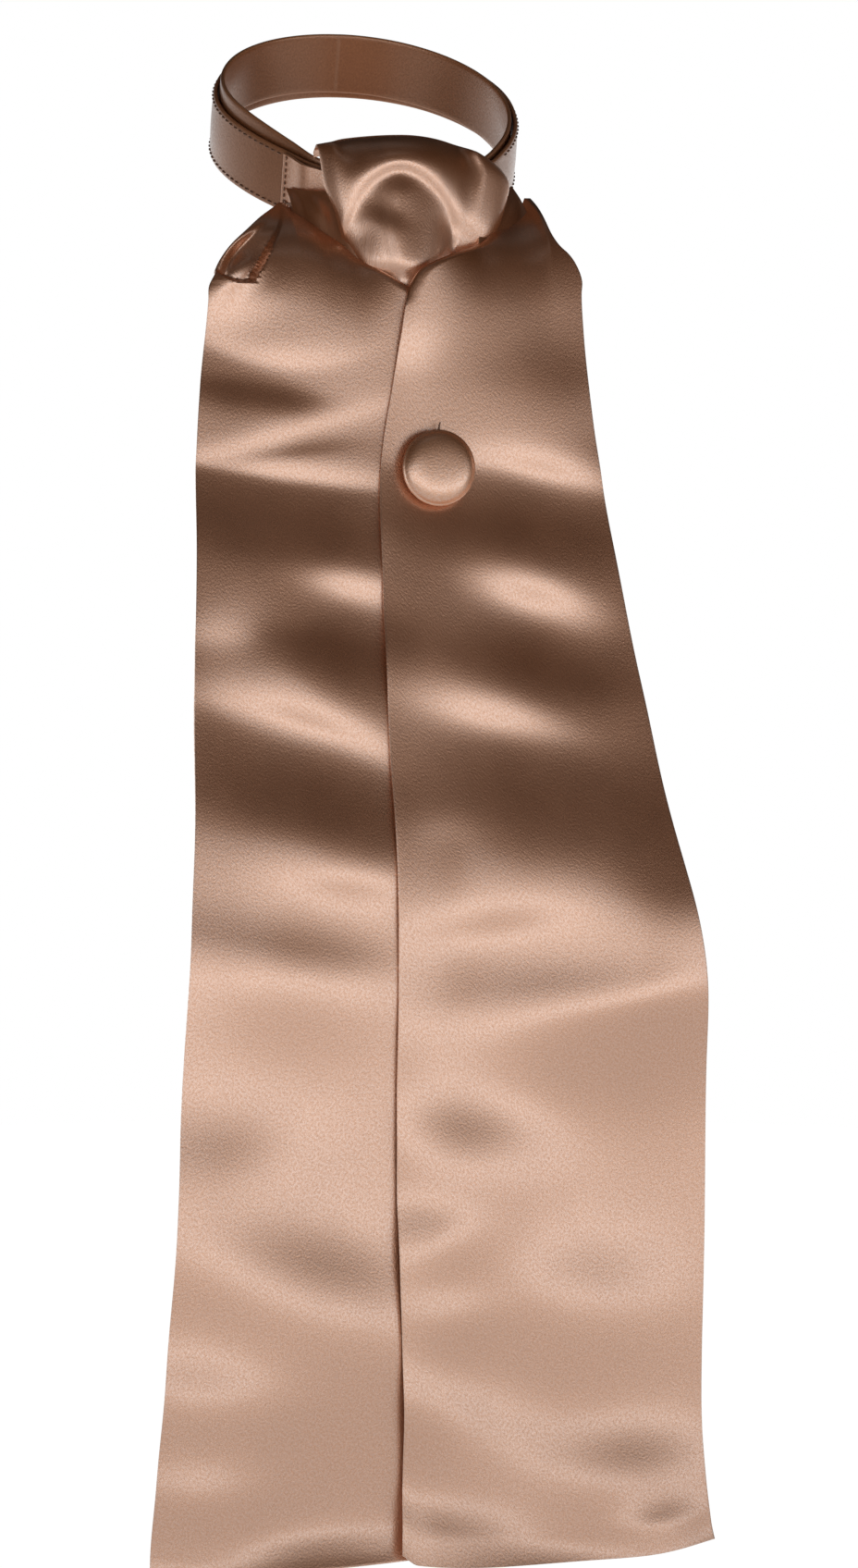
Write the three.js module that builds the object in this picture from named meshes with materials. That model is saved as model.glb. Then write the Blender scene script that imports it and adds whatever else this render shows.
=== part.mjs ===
// A satin cravat: a strap wound twice round the neck, a puffed knot, two broad tails that cross
// under it, and a cloth-covered button on the upper tail.
// Millimetres, +Z up, the front towards -Y. The origin is on the neck's axis, at the middle of the
// strap's loop. Left and right are as seen from the front. "Depth" is the distance in front of the
// neck's axis, so Y = -depth.
import * as THREE from 'three';

// Strap
const STRAP_WIDTH = 22.6;
const STRAP_WALL = 1.8;
const LOOP_TILT = 26; // degrees that the loop falls towards the front
const STRAP_LEAN = 18; // degrees that its walls lean forward, as a neck does
const STRAP_STEPS = 48;
const STRAP_ROWS = 3; // across its width
const OUTER_TURN_ENDS = 5; // degrees either side of the front where the outer turn stops inside the knot

// Cloth
const CLOTH_WALL = 2;
const WRAP_WALL = 1.6;
const GAP = 0.35;
const RIM_BULGE = 0.7;

// Tails
const HEM_Z = -500;
const UNDER_HEM_Z = -496;
const HEM_CURL = 1.6;
const HEM_CURL_HEIGHT = 9;
const HEM_DROP_TOP = -440; // the tails' rows start to follow the curve of the hem here
const LEFT_HEM = { drop: 3.6, middle: -38, half: 72 };
const RIGHT_HEM = { drop: 2.6, middle: 44, half: 50, cornerX: -14, cornerRise: 3 };
const FOLD_ABOVE = 13;
const FOLD_BELOW = 9;
const FOLD_DROP_POWER = 1.7;
const CROSSING_Z = -52; // the tails meet below here, and the under one sinks behind the other
const TUCK_TOP_Z = -42;
const TUCK_FULL_Z = -50;
const TUCK_WIDTH = 11; // how far before the crossing line the under tail sinks
const TUCK_END = 1; // it is fully behind this far before the line
const EDGE_ROLL = 3.5;
const EDGE_ROLL_DEPTH = 1.6;
const EDGE_ROLL_FOOT_Z = -60;
const EDGE_ROLL_FADE = 8;
const GATHER_STEP = 3; // between rows at the gathered top
const GATHER_FOOT_Z = -58;
const TAIL_STEP = 9; // between rows below it
const HEM_ROWS = [9, 4, 0]; // above the hem
const TAIL_COLUMNS = 11;

// Button
const BUTTON_RADIUS = 13.4;
const BUTTON_HEIGHT = 6.2;
const BUTTON_SIDES = 24;
const BUTTON_X = 6;
const BUTTON_Z = -117;
const SHANK_RADIUS = 3.2;
const SHANK_LENGTH = 2.4;
const SHANK_SIDES = 16;

// The loop seen from above, from the back (-180) round by the left side (-90) to the front (0).
// "rise" is how far the inner turn shows above the outer one.
const LOOP = [
  { angle: -180, radius: 55.5, rise: 3.0 },
  { angle: -120, radius: 55.5, rise: 4.6 },
  { angle: -90, radius: 55.3, rise: 5.4 },
  { angle: -60, radius: 53.2, rise: 4.4 },
  { angle: -44, radius: 54.0, rise: 2.8 },
  { angle: -30, radius: 57.5, rise: 1.2 },
  { angle: 0, radius: 60.0, rise: 1.0 },
  { angle: 32, radius: 61.0, rise: 1.0 },
  { angle: 50, radius: 58.0, rise: 1.0 },
  { angle: 70, radius: 56.2, rise: 1.2 },
  { angle: 110, radius: 55.5, rise: 1.8 },
  { angle: 180, radius: 55.5, rise: 3.0 },
];

// Front surface of both tails: depth on the middle line, and how fast each side falls back from it.
const DEPTH = [
  { z: -20, middle: 58, leftFall: 0.0125, rightFall: 0.0066 },
  { z: -29, middle: 68, leftFall: 0.0095, rightFall: 0.0058 },
  { z: -34, middle: 72.5, leftFall: 0.0078, rightFall: 0.0054 },
  { z: -39, middle: 76, leftFall: 0.006, rightFall: 0.0048 },
  { z: -45, middle: 79, leftFall: 0.0047, rightFall: 0.004 },
  { z: -53, middle: 81, leftFall: 0.0034, rightFall: 0.0032 },
  { z: -70, middle: 83, leftFall: 0.0022, rightFall: 0.0022 },
  { z: -87, middle: 84.5, leftFall: 0.0016, rightFall: 0.0016 },
  { z: -107, middle: 87, leftFall: 0.0012, rightFall: 0.0012 },
  { z: -122, middle: 90.5, leftFall: 0.001, rightFall: 0.001 },
  { z: -162, middle: 100.5, leftFall: 0.0008, rightFall: 0.0008 },
  { z: -202, middle: 110.5, leftFall: 0.0006, rightFall: 0.0006 },
  { z: -242, middle: 119, leftFall: 0.0005, rightFall: 0.0005 },
  { z: -282, middle: 124.5, leftFall: 0.0004, rightFall: 0.0004 },
  { z: -322, middle: 126, leftFall: 0.0003, rightFall: 0.0003 },
  { z: -503, middle: 124, leftFall: 0.0003, rightFall: 0.0003 },
];

// Outline of each tail, a row for each level.
const LEFT_TAIL = [
  { z: -24.5, left: -40.5, right: -35 },
  { z: -29.3, left: -48.4, right: -33.4 },
  { z: -33.5, left: -54.6, right: -29 },
  { z: -38.3, left: -61.5, right: -23.5 },
  { z: -44, left: -66.7, right: -18 },
  { z: -48.2, left: -69, right: -10.7 },
  { z: -53, left: -71, right: -3.2 },
  { z: -58, left: -71.8, right: 3 },
  { z: -70, left: -74, right: 4 },
  { z: -95, left: -77.6, right: 2 },
  { z: -133, left: -80.5, right: 2 },
  { z: -178, left: -83.6, right: 5 },
  { z: -235, left: -87, right: 11 },
  { z: -284, left: -90.8, right: 12 },
  { z: -335, left: -94.4, right: 9 },
  { z: -387, left: -97.9, right: 7 },
  { z: -440, left: -102.5, right: 6 },
  { z: -486, left: -106.6, right: 5 },
  { z: -497, left: -107.2, right: 5 },
];
const RIGHT_TAIL = [
  { z: -23.3, left: 51, right: 52.8 },
  { z: -26.4, left: 48.6, right: 53.6 },
  { z: -30.3, left: 43.6, right: 54.5 },
  { z: -35.3, left: 31.8, right: 55.4 },
  { z: -39.5, left: 24.4, right: 57.2 },
  { z: -42.7, left: 12.3, right: 60.2 },
  { z: -46, left: 3.2, right: 61.8 },
  { z: -52, left: -2.6, right: 62.4 },
  { z: -57, left: -4.4, right: 61.9 },
  { z: -70, left: -6.8, right: 62 },
  { z: -89, left: -10.2, right: 62.9 },
  { z: -105, left: -13.4, right: 64.3 },
  { z: -121, left: -15.6, right: 66.3 },
  { z: -159, left: -16.9, right: 71 },
  { z: -203, left: -17.9, right: 77.4 },
  { z: -239, left: -17.7, right: 82.8 },
  { z: -278, left: -17.8, right: 90.6 },
  { z: -291, left: -18, right: 92.4 },
  { z: -331, left: -18.8, right: 94.4 },
  { z: -381, left: -18.8, right: 95 },
  { z: -432, left: -17.6, right: 94.3 },
  { z: -466, left: -17.2, right: 94.9 },
  { z: -493, left: -17.9, right: 97.5 },
  { z: -501, left: -18.2, right: 99 },
];

// Cross folds where the satin buckles: crest place, slope in degrees, half length and rise.
const LEFT_FOLDS = [
  { x: -62, z: -81, slope: -8, half: 22, rise: 2.6 },
  { x: -48, z: -112, slope: 4, half: 34, rise: 3 },
  { x: -34, z: -151, slope: -12, half: 30, rise: 3 },
  { x: -48, z: -198, slope: -8, half: 44, rise: 3.2 },
  { x: -42, z: -254, slope: -6, half: 40, rise: 2.6 },
  { x: -62, z: -386, slope: -12, half: 40, rise: 0.9 },
];
const RIGHT_FOLDS = [
  { x: 46, z: -112, slope: -8, half: 22, rise: 2.4 },
  { x: 34, z: -156, slope: -10, half: 34, rise: 3 },
  { x: 32, z: -198, slope: -8, half: 46, rise: 3.2 },
  { x: 44, z: -262, slope: -6, half: 46, rise: 3 },
  { x: 14, z: -338, slope: -8, half: 24, rise: 0.9 },
  { x: 76, z: -448, slope: -10, half: 24, rise: 1 },
];

// The open pleat at the top of the left tail: a slit, a step back to its left, and a pocket at its foot.
const PLEAT = {
  slitTopX: -39,
  slitTopZ: -25,
  slitFootX: -56,
  slitFootZ: -49,
  belowSlit: 2,
  step: 4.5,
  stepWidth: 2.2,
  pocketDepth: 8,
  pocketHalf: 7,
  pocketAside: 3,
  pocketTop: 4,
  pocketFull: 6,
  fade: 7,
};

// Sides of the puff over the knot, from its top edge (0) to its hidden foot (1).
const PUFF = [
  { down: 0, left: -30.8, right: 37.5 },
  { down: 0.12, left: -30.2, right: 40 },
  { down: 0.28, left: -29.2, right: 38.5 },
  { down: 0.45, left: -25.8, right: 35.5 },
  { down: 0.55, left: -24.5, right: 32.5 },
  { down: 0.75, left: -20, right: 24 },
  { down: 1, left: -11, right: 13 },
];
const PUFF_FOOT_Z = -57;
const PUFF_TOP = { z: -0.6, leftFall: 0.0035, rightFall: 0.0085 };
const PUFF_ROLL = 3.4;
const PUFF_CREST = { x: -4.5, z: -10, fall: 0.041, lowest: -35, narrowing: 0.9 };
const PUFF_FRONT = {
  depth: 74.5,
  middle: -3,
  sideFall: 0.0072,
  edgeCurl: 0.4,
  edgeShare: 9,
  fullAboveFoot: 8,
  footAhead: 4,
};
const PUFF_DENT = { depth: 2.6, x: -6, half: 7, z: -20, height: 9 };
const PUFF_COLUMNS = 17;
const PUFF_ROWS = { leg: 4, roll: 3, shoulder: 6, fall: 6 };
const PUFF_LEG_FOOT = -14; // how far down the strap's face the hidden leg reaches
const PUFF_LEG_HALF = 19; // the cloth passes behind the strap only this far either side of the middle
const PUFF_LEG_FADE = [-10, -3];
const PUFF_SIDE_STEP = 8; // the width over which its lip then comes to the front of the strap
const PUFF_LIP_OUT = 5.8;
const PUFF_LIP_RADIUS = 58;

const SATIN = new THREE.MeshStandardMaterial({ color: 0x9a6b4f, roughness: 0.38, metalness: 0.35 });
const STRAP_SATIN = new THREE.MeshStandardMaterial({ color: 0x6b452e, roughness: 0.5, metalness: 0.25 });
const BUTTON_SATIN = new THREE.MeshStandardMaterial({ color: 0xa67556, roughness: 0.35, metalness: 0.35 });
const THREAD = new THREE.MeshStandardMaterial({ color: 0x7a4a30, roughness: 0.8, metalness: 0 });

const { lerp, smoothstep, degToRad, radToDeg, clamp } = THREE.MathUtils;

// Reads one column of a table at a value of its key column, on a smooth curve through the rows.
function readTable(rows, key, at, column) {
  const rising = rows[rows.length - 1][key] > rows[0][key];
  const ordered = rising ? rows : [...rows].reverse();
  const last = ordered.length - 1;
  const x = clamp(at, ordered[0][key], ordered[last][key]);
  let i = 0;
  while (i < last - 1 && x > ordered[i + 1][key]) i += 1;
  const slopeOf = (a, b) => (ordered[b][column] - ordered[a][column]) / (ordered[b][key] - ordered[a][key]);
  const step = ordered[i + 1][key] - ordered[i][key];
  const t = (x - ordered[i][key]) / step;
  const here = slopeOf(i, i + 1);
  const start = i > 0 ? (slopeOf(i - 1, i) + here) / 2 : here;
  const end = i < last - 1 ? (slopeOf(i + 1, i + 2) + here) / 2 : here;
  const h1 = t * t * (3 - 2 * t);
  const h2 = t * (1 - t) * (1 - t);
  const h3 = t * t * (t - 1);
  return lerp(ordered[i][column], ordered[i + 1][column], h1) + step * (start * h2 + end * h3);
}

// Joins a front grid and a back grid of points into one closed wall with a rounded rim.
// With "loop" the columns run on round a closed ring, and only the two long edges have a rim.
function closedWall(front, back, loop = false) {
  const rows = front.length;
  const columns = front[0].length;
  const points = [...front.flat(), ...back.flat()];
  const faces = [];
  const frontAt = (r, c) => r * columns + (c % columns);
  const backAt = (r, c) => rows * columns + frontAt(r, c);
  const quad = (a, b, c, d) => faces.push([a, b, c], [a, c, d]);
  for (let r = 0; r < rows - 1; r += 1) {
    for (let c = 0; c < (loop ? columns : columns - 1); c += 1) {
      quad(frontAt(r, c), frontAt(r + 1, c), frontAt(r + 1, c + 1), frontAt(r, c + 1));
      quad(backAt(r, c), backAt(r, c + 1), backAt(r + 1, c + 1), backAt(r + 1, c));
    }
  }
  const rim = (places) => {
    const middles = places.map(([r, c, inR, inC]) => {
      const edge = front[r][c];
      const outward = edge.clone().sub(front[inR][inC]).normalize();
      points.push(edge.clone().lerp(back[r][c], 0.5).addScaledVector(outward, RIM_BULGE));
      return points.length - 1;
    });
    places.forEach(([r, c], i) => {
      const j = (i + 1) % places.length;
      const [nextR, nextC] = places[j];
      quad(frontAt(r, c), frontAt(nextR, nextC), middles[j], middles[i]);
      quad(middles[i], middles[j], backAt(nextR, nextC), backAt(r, c));
    });
  };
  const top = Array.from({ length: columns }, (_, c) => [0, c, 1, c]);
  const foot = Array.from({ length: columns }, (_, c) => [rows - 1, c, rows - 2, c]);
  if (loop) {
    rim(top);
    rim(foot.reverse());
  } else {
    const right = Array.from({ length: rows - 2 }, (_, i) => [i + 1, columns - 1, i + 1, columns - 2]);
    const left = Array.from({ length: rows - 2 }, (_, i) => [rows - 2 - i, 0, rows - 2 - i, 1]);
    rim([...top, ...right, ...foot.reverse(), ...left]);
  }
  return outwardMesh(points, faces);
}

// Makes the geometry, with its faces turned outwards.
function outwardMesh(points, faces) {
  const volume = faces.reduce((sum, [a, b, c]) => {
    const normal = new THREE.Vector3().crossVectors(points[b], points[c]);
    return sum + points[a].dot(normal);
  }, 0);
  const ordered = volume > 0 ? faces : faces.map(([a, b, c]) => [a, c, b]);
  const geometry = new THREE.BufferGeometry().setFromPoints(points);
  geometry.setIndex(ordered.flat());
  return geometry;
}

// Steps every front point back by one wall, along the surface's own normal at that point.
function behind(front, wall, towards) {
  return front.map((row, r) => row.map((point, c) => {
    const down = front[Math.min(r + 1, front.length - 1)][c].clone().sub(front[Math.max(r - 1, 0)][c]);
    const across = row[Math.min(c + 1, row.length - 1)].clone().sub(row[Math.max(c - 1, 0)]);
    const normal = new THREE.Vector3().crossVectors(down, across).normalize();
    return point.clone().addScaledVector(normal, wall * towards);
  }));
}

function grid(rows, columns, pointAt) {
  return Array.from({ length: rows }, (_, r) => Array.from({ length: columns }, (_unused, c) => (
    pointAt(r / (rows - 1), c / (columns - 1)))));
}

// A point on the strap's loop: angle from the front, distance up its face, distance out from its outer face.
function onStrap(angle, up, out) {
  const turn = degToRad(angle);
  const tilt = degToRad(LOOP_TILT);
  const lean = degToRad(STRAP_LEAN);
  const radius = readTable(LOOP, 'angle', angle, 'radius') + out;
  const forward = radius * Math.cos(turn);
  return new THREE.Vector3(
    radius * Math.sin(turn),
    -forward * Math.cos(tilt) - up * Math.sin(lean),
    -forward * Math.sin(tilt) + up * Math.cos(lean),
  );
}

function innerTurn() {
  const outside = -STRAP_WALL - GAP;
  const rowAt = (out, down) => Array.from({ length: STRAP_STEPS }, (_, c) => {
    const angle = -180 + (360 * c) / STRAP_STEPS;
    const up = STRAP_WIDTH * (0.5 - down) + readTable(LOOP, 'angle', angle, 'rise');
    return onStrap(angle, up, out);
  });
  const wallAt = (out) => Array.from({ length: STRAP_ROWS }, (_, r) => rowAt(out, r / (STRAP_ROWS - 1)));
  return closedWall(wallAt(outside), wallAt(outside - STRAP_WALL), true);
}

// The outer turn runs from inside the knot, round the back, to inside the knot again.
function outerTurn() {
  const wallAt = (out) => grid(STRAP_ROWS, STRAP_STEPS, (down, along) => {
    const fromBack = lerp(-180 + OUTER_TURN_ENDS, 180 - OUTER_TURN_ENDS, along);
    const angle = fromBack > 0 ? fromBack - 180 : fromBack + 180;
    return onStrap(angle, STRAP_WIDTH * (0.5 - down), out);
  });
  return closedWall(wallAt(0), wallAt(-STRAP_WALL));
}

// How far one cross fold stands out: a soft rise down to its crest, then a quick fall to a crease.
function foldRise(fold, x, z) {
  const slope = degToRad(fold.slope);
  const along = (x - fold.x) * Math.cos(slope) + (z - fold.z) * Math.sin(slope);
  const below = (x - fold.x) * Math.sin(slope) - (z - fold.z) * Math.cos(slope);
  const fade = Math.exp(-((along / fold.half) ** 2));
  if (below < 0) return fold.rise * fade * Math.exp(-((below / FOLD_ABOVE) ** 2));
  return fold.rise * fade * Math.max(0, 1 - (below / FOLD_BELOW) ** FOLD_DROP_POWER);
}

function plainDepth(x, z) {
  const fall = readTable(DEPTH, 'z', z, x < 0 ? 'leftFall' : 'rightFall');
  return readTable(DEPTH, 'z', z, 'middle') - fall * x * x;
}

function hemCurl(z) {
  const up = clamp(1 - (z - HEM_Z) / HEM_CURL_HEIGHT, 0, 1);
  return HEM_CURL * up * up;
}

function upperDepth(x, z) {
  return RIGHT_FOLDS.reduce((depth, fold) => depth + foldRise(fold, x, z), plainDepth(x, z)) + hemCurl(z);
}

// The pleat: left of its slit the cloth lies further back, and a pocket opens above the rim below it.
function pleatDrop(x, z) {
  const down = clamp((PLEAT.slitTopZ - z) / (PLEAT.slitTopZ - PLEAT.slitFootZ), 0, 1);
  const slitX = lerp(PLEAT.slitTopX, PLEAT.slitFootX, down);
  const fadeFrom = PLEAT.slitFootZ - PLEAT.belowSlit;
  const fade = smoothstep(z, fadeFrom, fadeFrom + PLEAT.fade);
  const leftOfSlit = 1 - smoothstep(x, slitX - PLEAT.stepWidth, slitX);
  const spread = Math.exp(-(((x - slitX + PLEAT.pocketAside) / PLEAT.pocketHalf) ** 2));
  const open = smoothstep(-z, PLEAT.pocketTop - PLEAT.slitTopZ, -PLEAT.slitFootZ - PLEAT.pocketFull);
  return fade * (PLEAT.step * leftOfSlit + PLEAT.pocketDepth * spread * open);
}

// How far the upper tail's folded edge rolls back, by the distance from that edge.
function edgeRoll(fromFold, z) {
  const nearTop = smoothstep(z, EDGE_ROLL_FOOT_Z, EDGE_ROLL_FOOT_Z + EDGE_ROLL_FADE);
  return EDGE_ROLL_DEPTH * nearTop * (1 - smoothstep(fromFold, 0, EDGE_ROLL));
}

// The under tail has its own folds, and sinks behind the upper one before the line where they cross.
function underDepth(x, z) {
  const own = LEFT_FOLDS.reduce((depth, fold) => depth + foldRise(fold, x, z), plainDepth(x, z)) + hemCurl(z);
  const crossing = readTable(RIGHT_TAIL, 'z', Math.min(z, CROSSING_Z), 'left');
  const hidden = smoothstep(x, crossing - TUCK_WIDTH, crossing - TUCK_END);
  const rollAbove = edgeRoll(0, z + 2 * GATHER_STEP);
  const covered = upperDepth(x, z) - rollAbove - CLOTH_WALL - 3 * GAP;
  return lerp(own, covered, hidden * smoothstep(-z, -TUCK_TOP_Z, -TUCK_FULL_Z)) - pleatDrop(x, z);
}

// Levels of a tail's rows: close together at the gathered top and at the hem, wider between.
function tailLevels(top, hem) {
  const levels = [];
  for (let z = top; z > GATHER_FOOT_Z; z -= GATHER_STEP) levels.push(z);
  const lowest = hem + HEM_ROWS[0] + TAIL_STEP / 2;
  for (let z = GATHER_FOOT_Z - GATHER_STEP; z > lowest; z -= TAIL_STEP) levels.push(z);
  HEM_ROWS.forEach((above) => levels.push(hem + above));
  return levels;
}

function tailWall({ outline, top, hem, depthAt, hemDropAt, foldedEdge }) {
  const front = tailLevels(top, hem).map((z) => Array.from({ length: TAIL_COLUMNS }, (_, c) => {
    const left = readTable(outline, 'z', z, 'left');
    const right = readTable(outline, 'z', z, 'right');
    const x = lerp(left, right, c / (TAIL_COLUMNS - 1));
    const roll = edgeRoll(Math.abs(x - (foldedEdge === 'right' ? right : left)), z);
    const low = z - hemDropAt(x) * smoothstep(-z, -HEM_DROP_TOP, -hem);
    return new THREE.Vector3(x, roll - depthAt(x, z), low);
  }));
  const back = front.map((row) => row.map((point) => point.clone().add(new THREE.Vector3(0, CLOTH_WALL, 0))));
  return closedWall(front, back);
}

function leftTail() {
  const { drop, middle, half } = LEFT_HEM;
  return tailWall({
    outline: LEFT_TAIL,
    top: LEFT_TAIL[0].z,
    hem: UNDER_HEM_Z,
    depthAt: underDepth,
    hemDropAt: (x) => drop * (1 - ((x - middle) / half) ** 2),
    foldedEdge: 'right',
  });
}

function rightTail() {
  const { drop, middle, half, cornerX, cornerRise } = RIGHT_HEM;
  return tailWall({
    outline: RIGHT_TAIL,
    top: RIGHT_TAIL[0].z,
    hem: HEM_Z,
    depthAt: upperDepth,
    hemDropAt: (x) => drop * (1 - ((x - middle) / half) ** 2) - (x < cornerX ? cornerRise : 0),
    foldedEdge: 'left',
  });
}

// The puff: up behind the strap, over it in a soft roll, and down the front to the crossing.
// Towards its sides it only leans on the front of the strap, with a short lip.
function puffColumn(across) {
  const topX = lerp(PUFF[0].left, PUFF[0].right, across);
  const topZ = PUFF_TOP.z - (topX < 0 ? PUFF_TOP.leftFall : PUFF_TOP.rightFall) * topX * topX;
  const aside = Math.abs(topX) - PUFF_LEG_HALF;
  const inside = -2 * STRAP_WALL - 3 * GAP - CLOTH_WALL;
  const out = lerp(inside, PUFF_LIP_OUT, smoothstep(aside, 0, PUFF_SIDE_STEP));
  const angle = radToDeg(Math.asin(topX / (PUFF_LIP_RADIUS + Math.max(out, 0))));
  const lipUp = (topZ - PUFF_ROLL - onStrap(angle, 0, out).z) / Math.cos(degToRad(STRAP_LEAN));
  const legUp = lerp(PUFF_LEG_FOOT, lipUp - 1, smoothstep(aside, ...PUFF_LEG_FADE));
  const ridgeDepth = -onStrap(angle, lipUp, out).y + PUFF_ROLL;
  const points = [];
  for (let i = 0; i < PUFF_ROWS.leg; i += 1) {
    points.push(onStrap(angle, lerp(legUp, lipUp, i / PUFF_ROWS.leg), out));
  }
  for (let i = 0; i < PUFF_ROWS.roll; i += 1) {
    const turn = (Math.PI / 2) * (i / PUFF_ROWS.roll);
    const y = PUFF_ROLL * Math.cos(turn) - ridgeDepth;
    points.push(new THREE.Vector3(topX, y, topZ - PUFF_ROLL * (1 - Math.sin(turn))));
  }
  const crestZ = puffCrestZ(topX * PUFF_CREST.narrowing);
  const frontPoint = (z, full) => {
    const down = (topZ - z) / (topZ - PUFF_FOOT_Z);
    const x = lerp(readTable(PUFF, 'down', down, 'left'), readTable(PUFF, 'down', down, 'right'), across);
    return new THREE.Vector3(x, -puffDepth({ x, z, full, crestZ, ridgeDepth, across }), z);
  };
  for (let i = 0; i <= PUFF_ROWS.shoulder; i += 1) {
    const turn = (Math.PI / 2) * (i / PUFF_ROWS.shoulder);
    points.push(frontPoint(lerp(crestZ, topZ, Math.cos(turn)), Math.sin(turn)));
  }
  for (let i = 1; i <= PUFF_ROWS.fall; i += 1) {
    points.push(frontPoint(lerp(crestZ, PUFF_FOOT_Z, i / PUFF_ROWS.fall), 1));
  }
  return points;
}

// Height of the arch that the puff's soft crest makes.
function puffCrestZ(x) {
  return Math.max(PUFF_CREST.z - PUFF_CREST.fall * (x - PUFF_CREST.x) ** 2, PUFF_CREST.lowest);
}

// "full" is how much of the puff's stand-off is reached, from its ridge (0) to its crest (1).
function puffDepth({ x, z, full, crestZ, ridgeDepth, across }) {
  const crest = PUFF_FRONT.depth - PUFF_FRONT.sideFall * (x - PUFF_FRONT.middle) ** 2;
  const inFromEdge = clamp(Math.min(across, 1 - across) * PUFF_FRONT.edgeShare, 0, 1);
  const curl = lerp(PUFF_FRONT.edgeCurl, 1, Math.sqrt(1 - (1 - inFromEdge) ** 2));
  const puffed = ridgeDepth + (crest - ridgeDepth) * curl * full;
  const behindTails = plainDepth(x, z) - 2 * CLOTH_WALL - 5 * GAP - 2 * EDGE_ROLL_DEPTH;
  const down = smoothstep(crestZ - z, 0, crestZ - PUFF_FOOT_Z - PUFF_FRONT.fullAboveFoot);
  const dentAcross = ((x - PUFF_DENT.x) / PUFF_DENT.half) ** 2;
  const dentDown = ((z - PUFF_DENT.z) / PUFF_DENT.height) ** 2;
  const dent = PUFF_DENT.depth * Math.exp(-dentAcross - dentDown);
  return lerp(puffed, Math.min(behindTails, crest + PUFF_FRONT.footAhead), down) - dent;
}

function knotPuff() {
  const columns = Array.from({ length: PUFF_COLUMNS }, (_, c) => puffColumn(c / (PUFF_COLUMNS - 1)));
  const front = columns[0].map((_, r) => columns.map((column) => column[r]));
  return closedWall(front, behind(front, CLOTH_WALL, -1));
}

// A short run of tail cloth on the strap's end: rows follow a profile of height and stand-off.
// "flare" says how much of the stand-off there is at its first and last columns, and "lift" how far
// they rise.
function wrapWall({ profile, angles, flare, lift, columns }) {
  const front = profile.map((row) => Array.from({ length: columns }, (_, c) => {
    const across = c / (columns - 1);
    const out = row.out * lerp(flare[0], flare[1], across);
    return onStrap(lerp(angles[0], angles[1], across), row.up + lerp(lift[0], lift[1], across), out);
  }));
  return closedWall(front, behind(front, WRAP_WALL, -1));
}

const LEFT_WRAP = {
  profile: [
    { up: 11.6, out: 2 },
    { up: 6, out: 2.6 },
    { up: 0, out: 2.9 },
    { up: -5, out: 3.4 },
    { up: -10, out: 4.2 },
  ],
  angles: [-44, -22],
  flare: [1, 1],
  lift: [0, 0],
  columns: 8,
};
const KNOT_TUCK = {
  profile: [
    { up: 0, out: 5.6 },
    { up: -3, out: 5.8 },
    { up: -6, out: 6.2 },
    { up: -9, out: 7 },
    { up: -12, out: 8 },
  ],
  angles: [-36, -24],
  flare: [1, 1],
  lift: [-4, 5.5],
  columns: 7,
};
const RIGHT_WRAP = {
  profile: [
    { up: 1, out: 2.2 },
    { up: 1.2, out: 6 },
    { up: -0.5, out: 9.2 },
    { up: -4, out: 11 },
    { up: -9, out: 12 },
    { up: -15, out: 12.5 },
  ],
  angles: [29, 47],
  flare: [0.5, 1],
  lift: [0, 0],
  columns: 8,
};

// A grid of points on the button's own place, square to the cloth under it.
function buttonFrame() {
  const here = (dx, dz) => {
    const x = BUTTON_X + dx;
    const z = BUTTON_Z + dz;
    return new THREE.Vector3(x, -upperDepth(x, z), z);
  };
  const across = here(1, 0).sub(here(-1, 0));
  const upward = here(0, 1).sub(here(0, -1));
  const outward = new THREE.Vector3().crossVectors(across, upward).normalize();
  const turn = new THREE.Quaternion().setFromUnitVectors(new THREE.Vector3(0, 1, 0), outward);
  return { centre: here(0, 0), outward, turn };
}

function placedOnCloth(mesh, standOff) {
  const { centre, outward, turn } = buttonFrame();
  mesh.quaternion.copy(turn);
  mesh.position.copy(centre).addScaledVector(outward, standOff);
  return mesh;
}

function buttonGeometry() {
  const profile = [
    [0, 0], [0.86, 0], [0.97, 0.1], [1, 0.26], [0.975, 0.44], [0.85, 0.68], [0.6, 0.88], [0.3, 0.97], [0, 1],
  ].map(([out, up]) => new THREE.Vector2(out * BUTTON_RADIUS, up * BUTTON_HEIGHT));
  return new THREE.LatheGeometry(profile, BUTTON_SIDES);
}

function named(name, geometry, material) {
  const mesh = new THREE.Mesh(geometry, material);
  mesh.name = name;
  return mesh;
}

const cravat = new THREE.Group();
cravat.add(named('neck_strap_inner_turn', innerTurn(), STRAP_SATIN));
cravat.add(named('neck_strap_outer_turn', outerTurn(), STRAP_SATIN));
cravat.add(named('knot_puff', knotPuff(), SATIN));
cravat.add(named('left_wrap', wrapWall(LEFT_WRAP), SATIN));
cravat.add(named('knot_tuck', wrapWall(KNOT_TUCK), SATIN));
cravat.add(named('right_wrap', wrapWall(RIGHT_WRAP), SATIN));
cravat.add(named('left_tail', leftTail(), SATIN));
cravat.add(named('right_tail', rightTail(), SATIN));
const shank = new THREE.CylinderGeometry(SHANK_RADIUS, SHANK_RADIUS, SHANK_LENGTH, SHANK_SIDES);
cravat.add(placedOnCloth(named('button_shank', shank, THREAD), GAP + SHANK_LENGTH / 2));
cravat.add(placedOnCloth(named('covered_button', buttonGeometry(), BUTTON_SATIN), 2 * GAP + SHANK_LENGTH));

export default cravat;
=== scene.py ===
# A satin cravat: a strap wound twice round the neck, a puffed knot, two broad tails that cross
# under it, and a cloth-covered button on the upper tail.
# Tables and sizes are in millimetres, turned into metres where a mesh is made.
# +Z is up and -Y is the front.
# Left and right are as seen from the front. "Depth" is the distance in front of the neck's axis, so Y is
# minus the depth.
import math
from typing import NamedTuple

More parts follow.
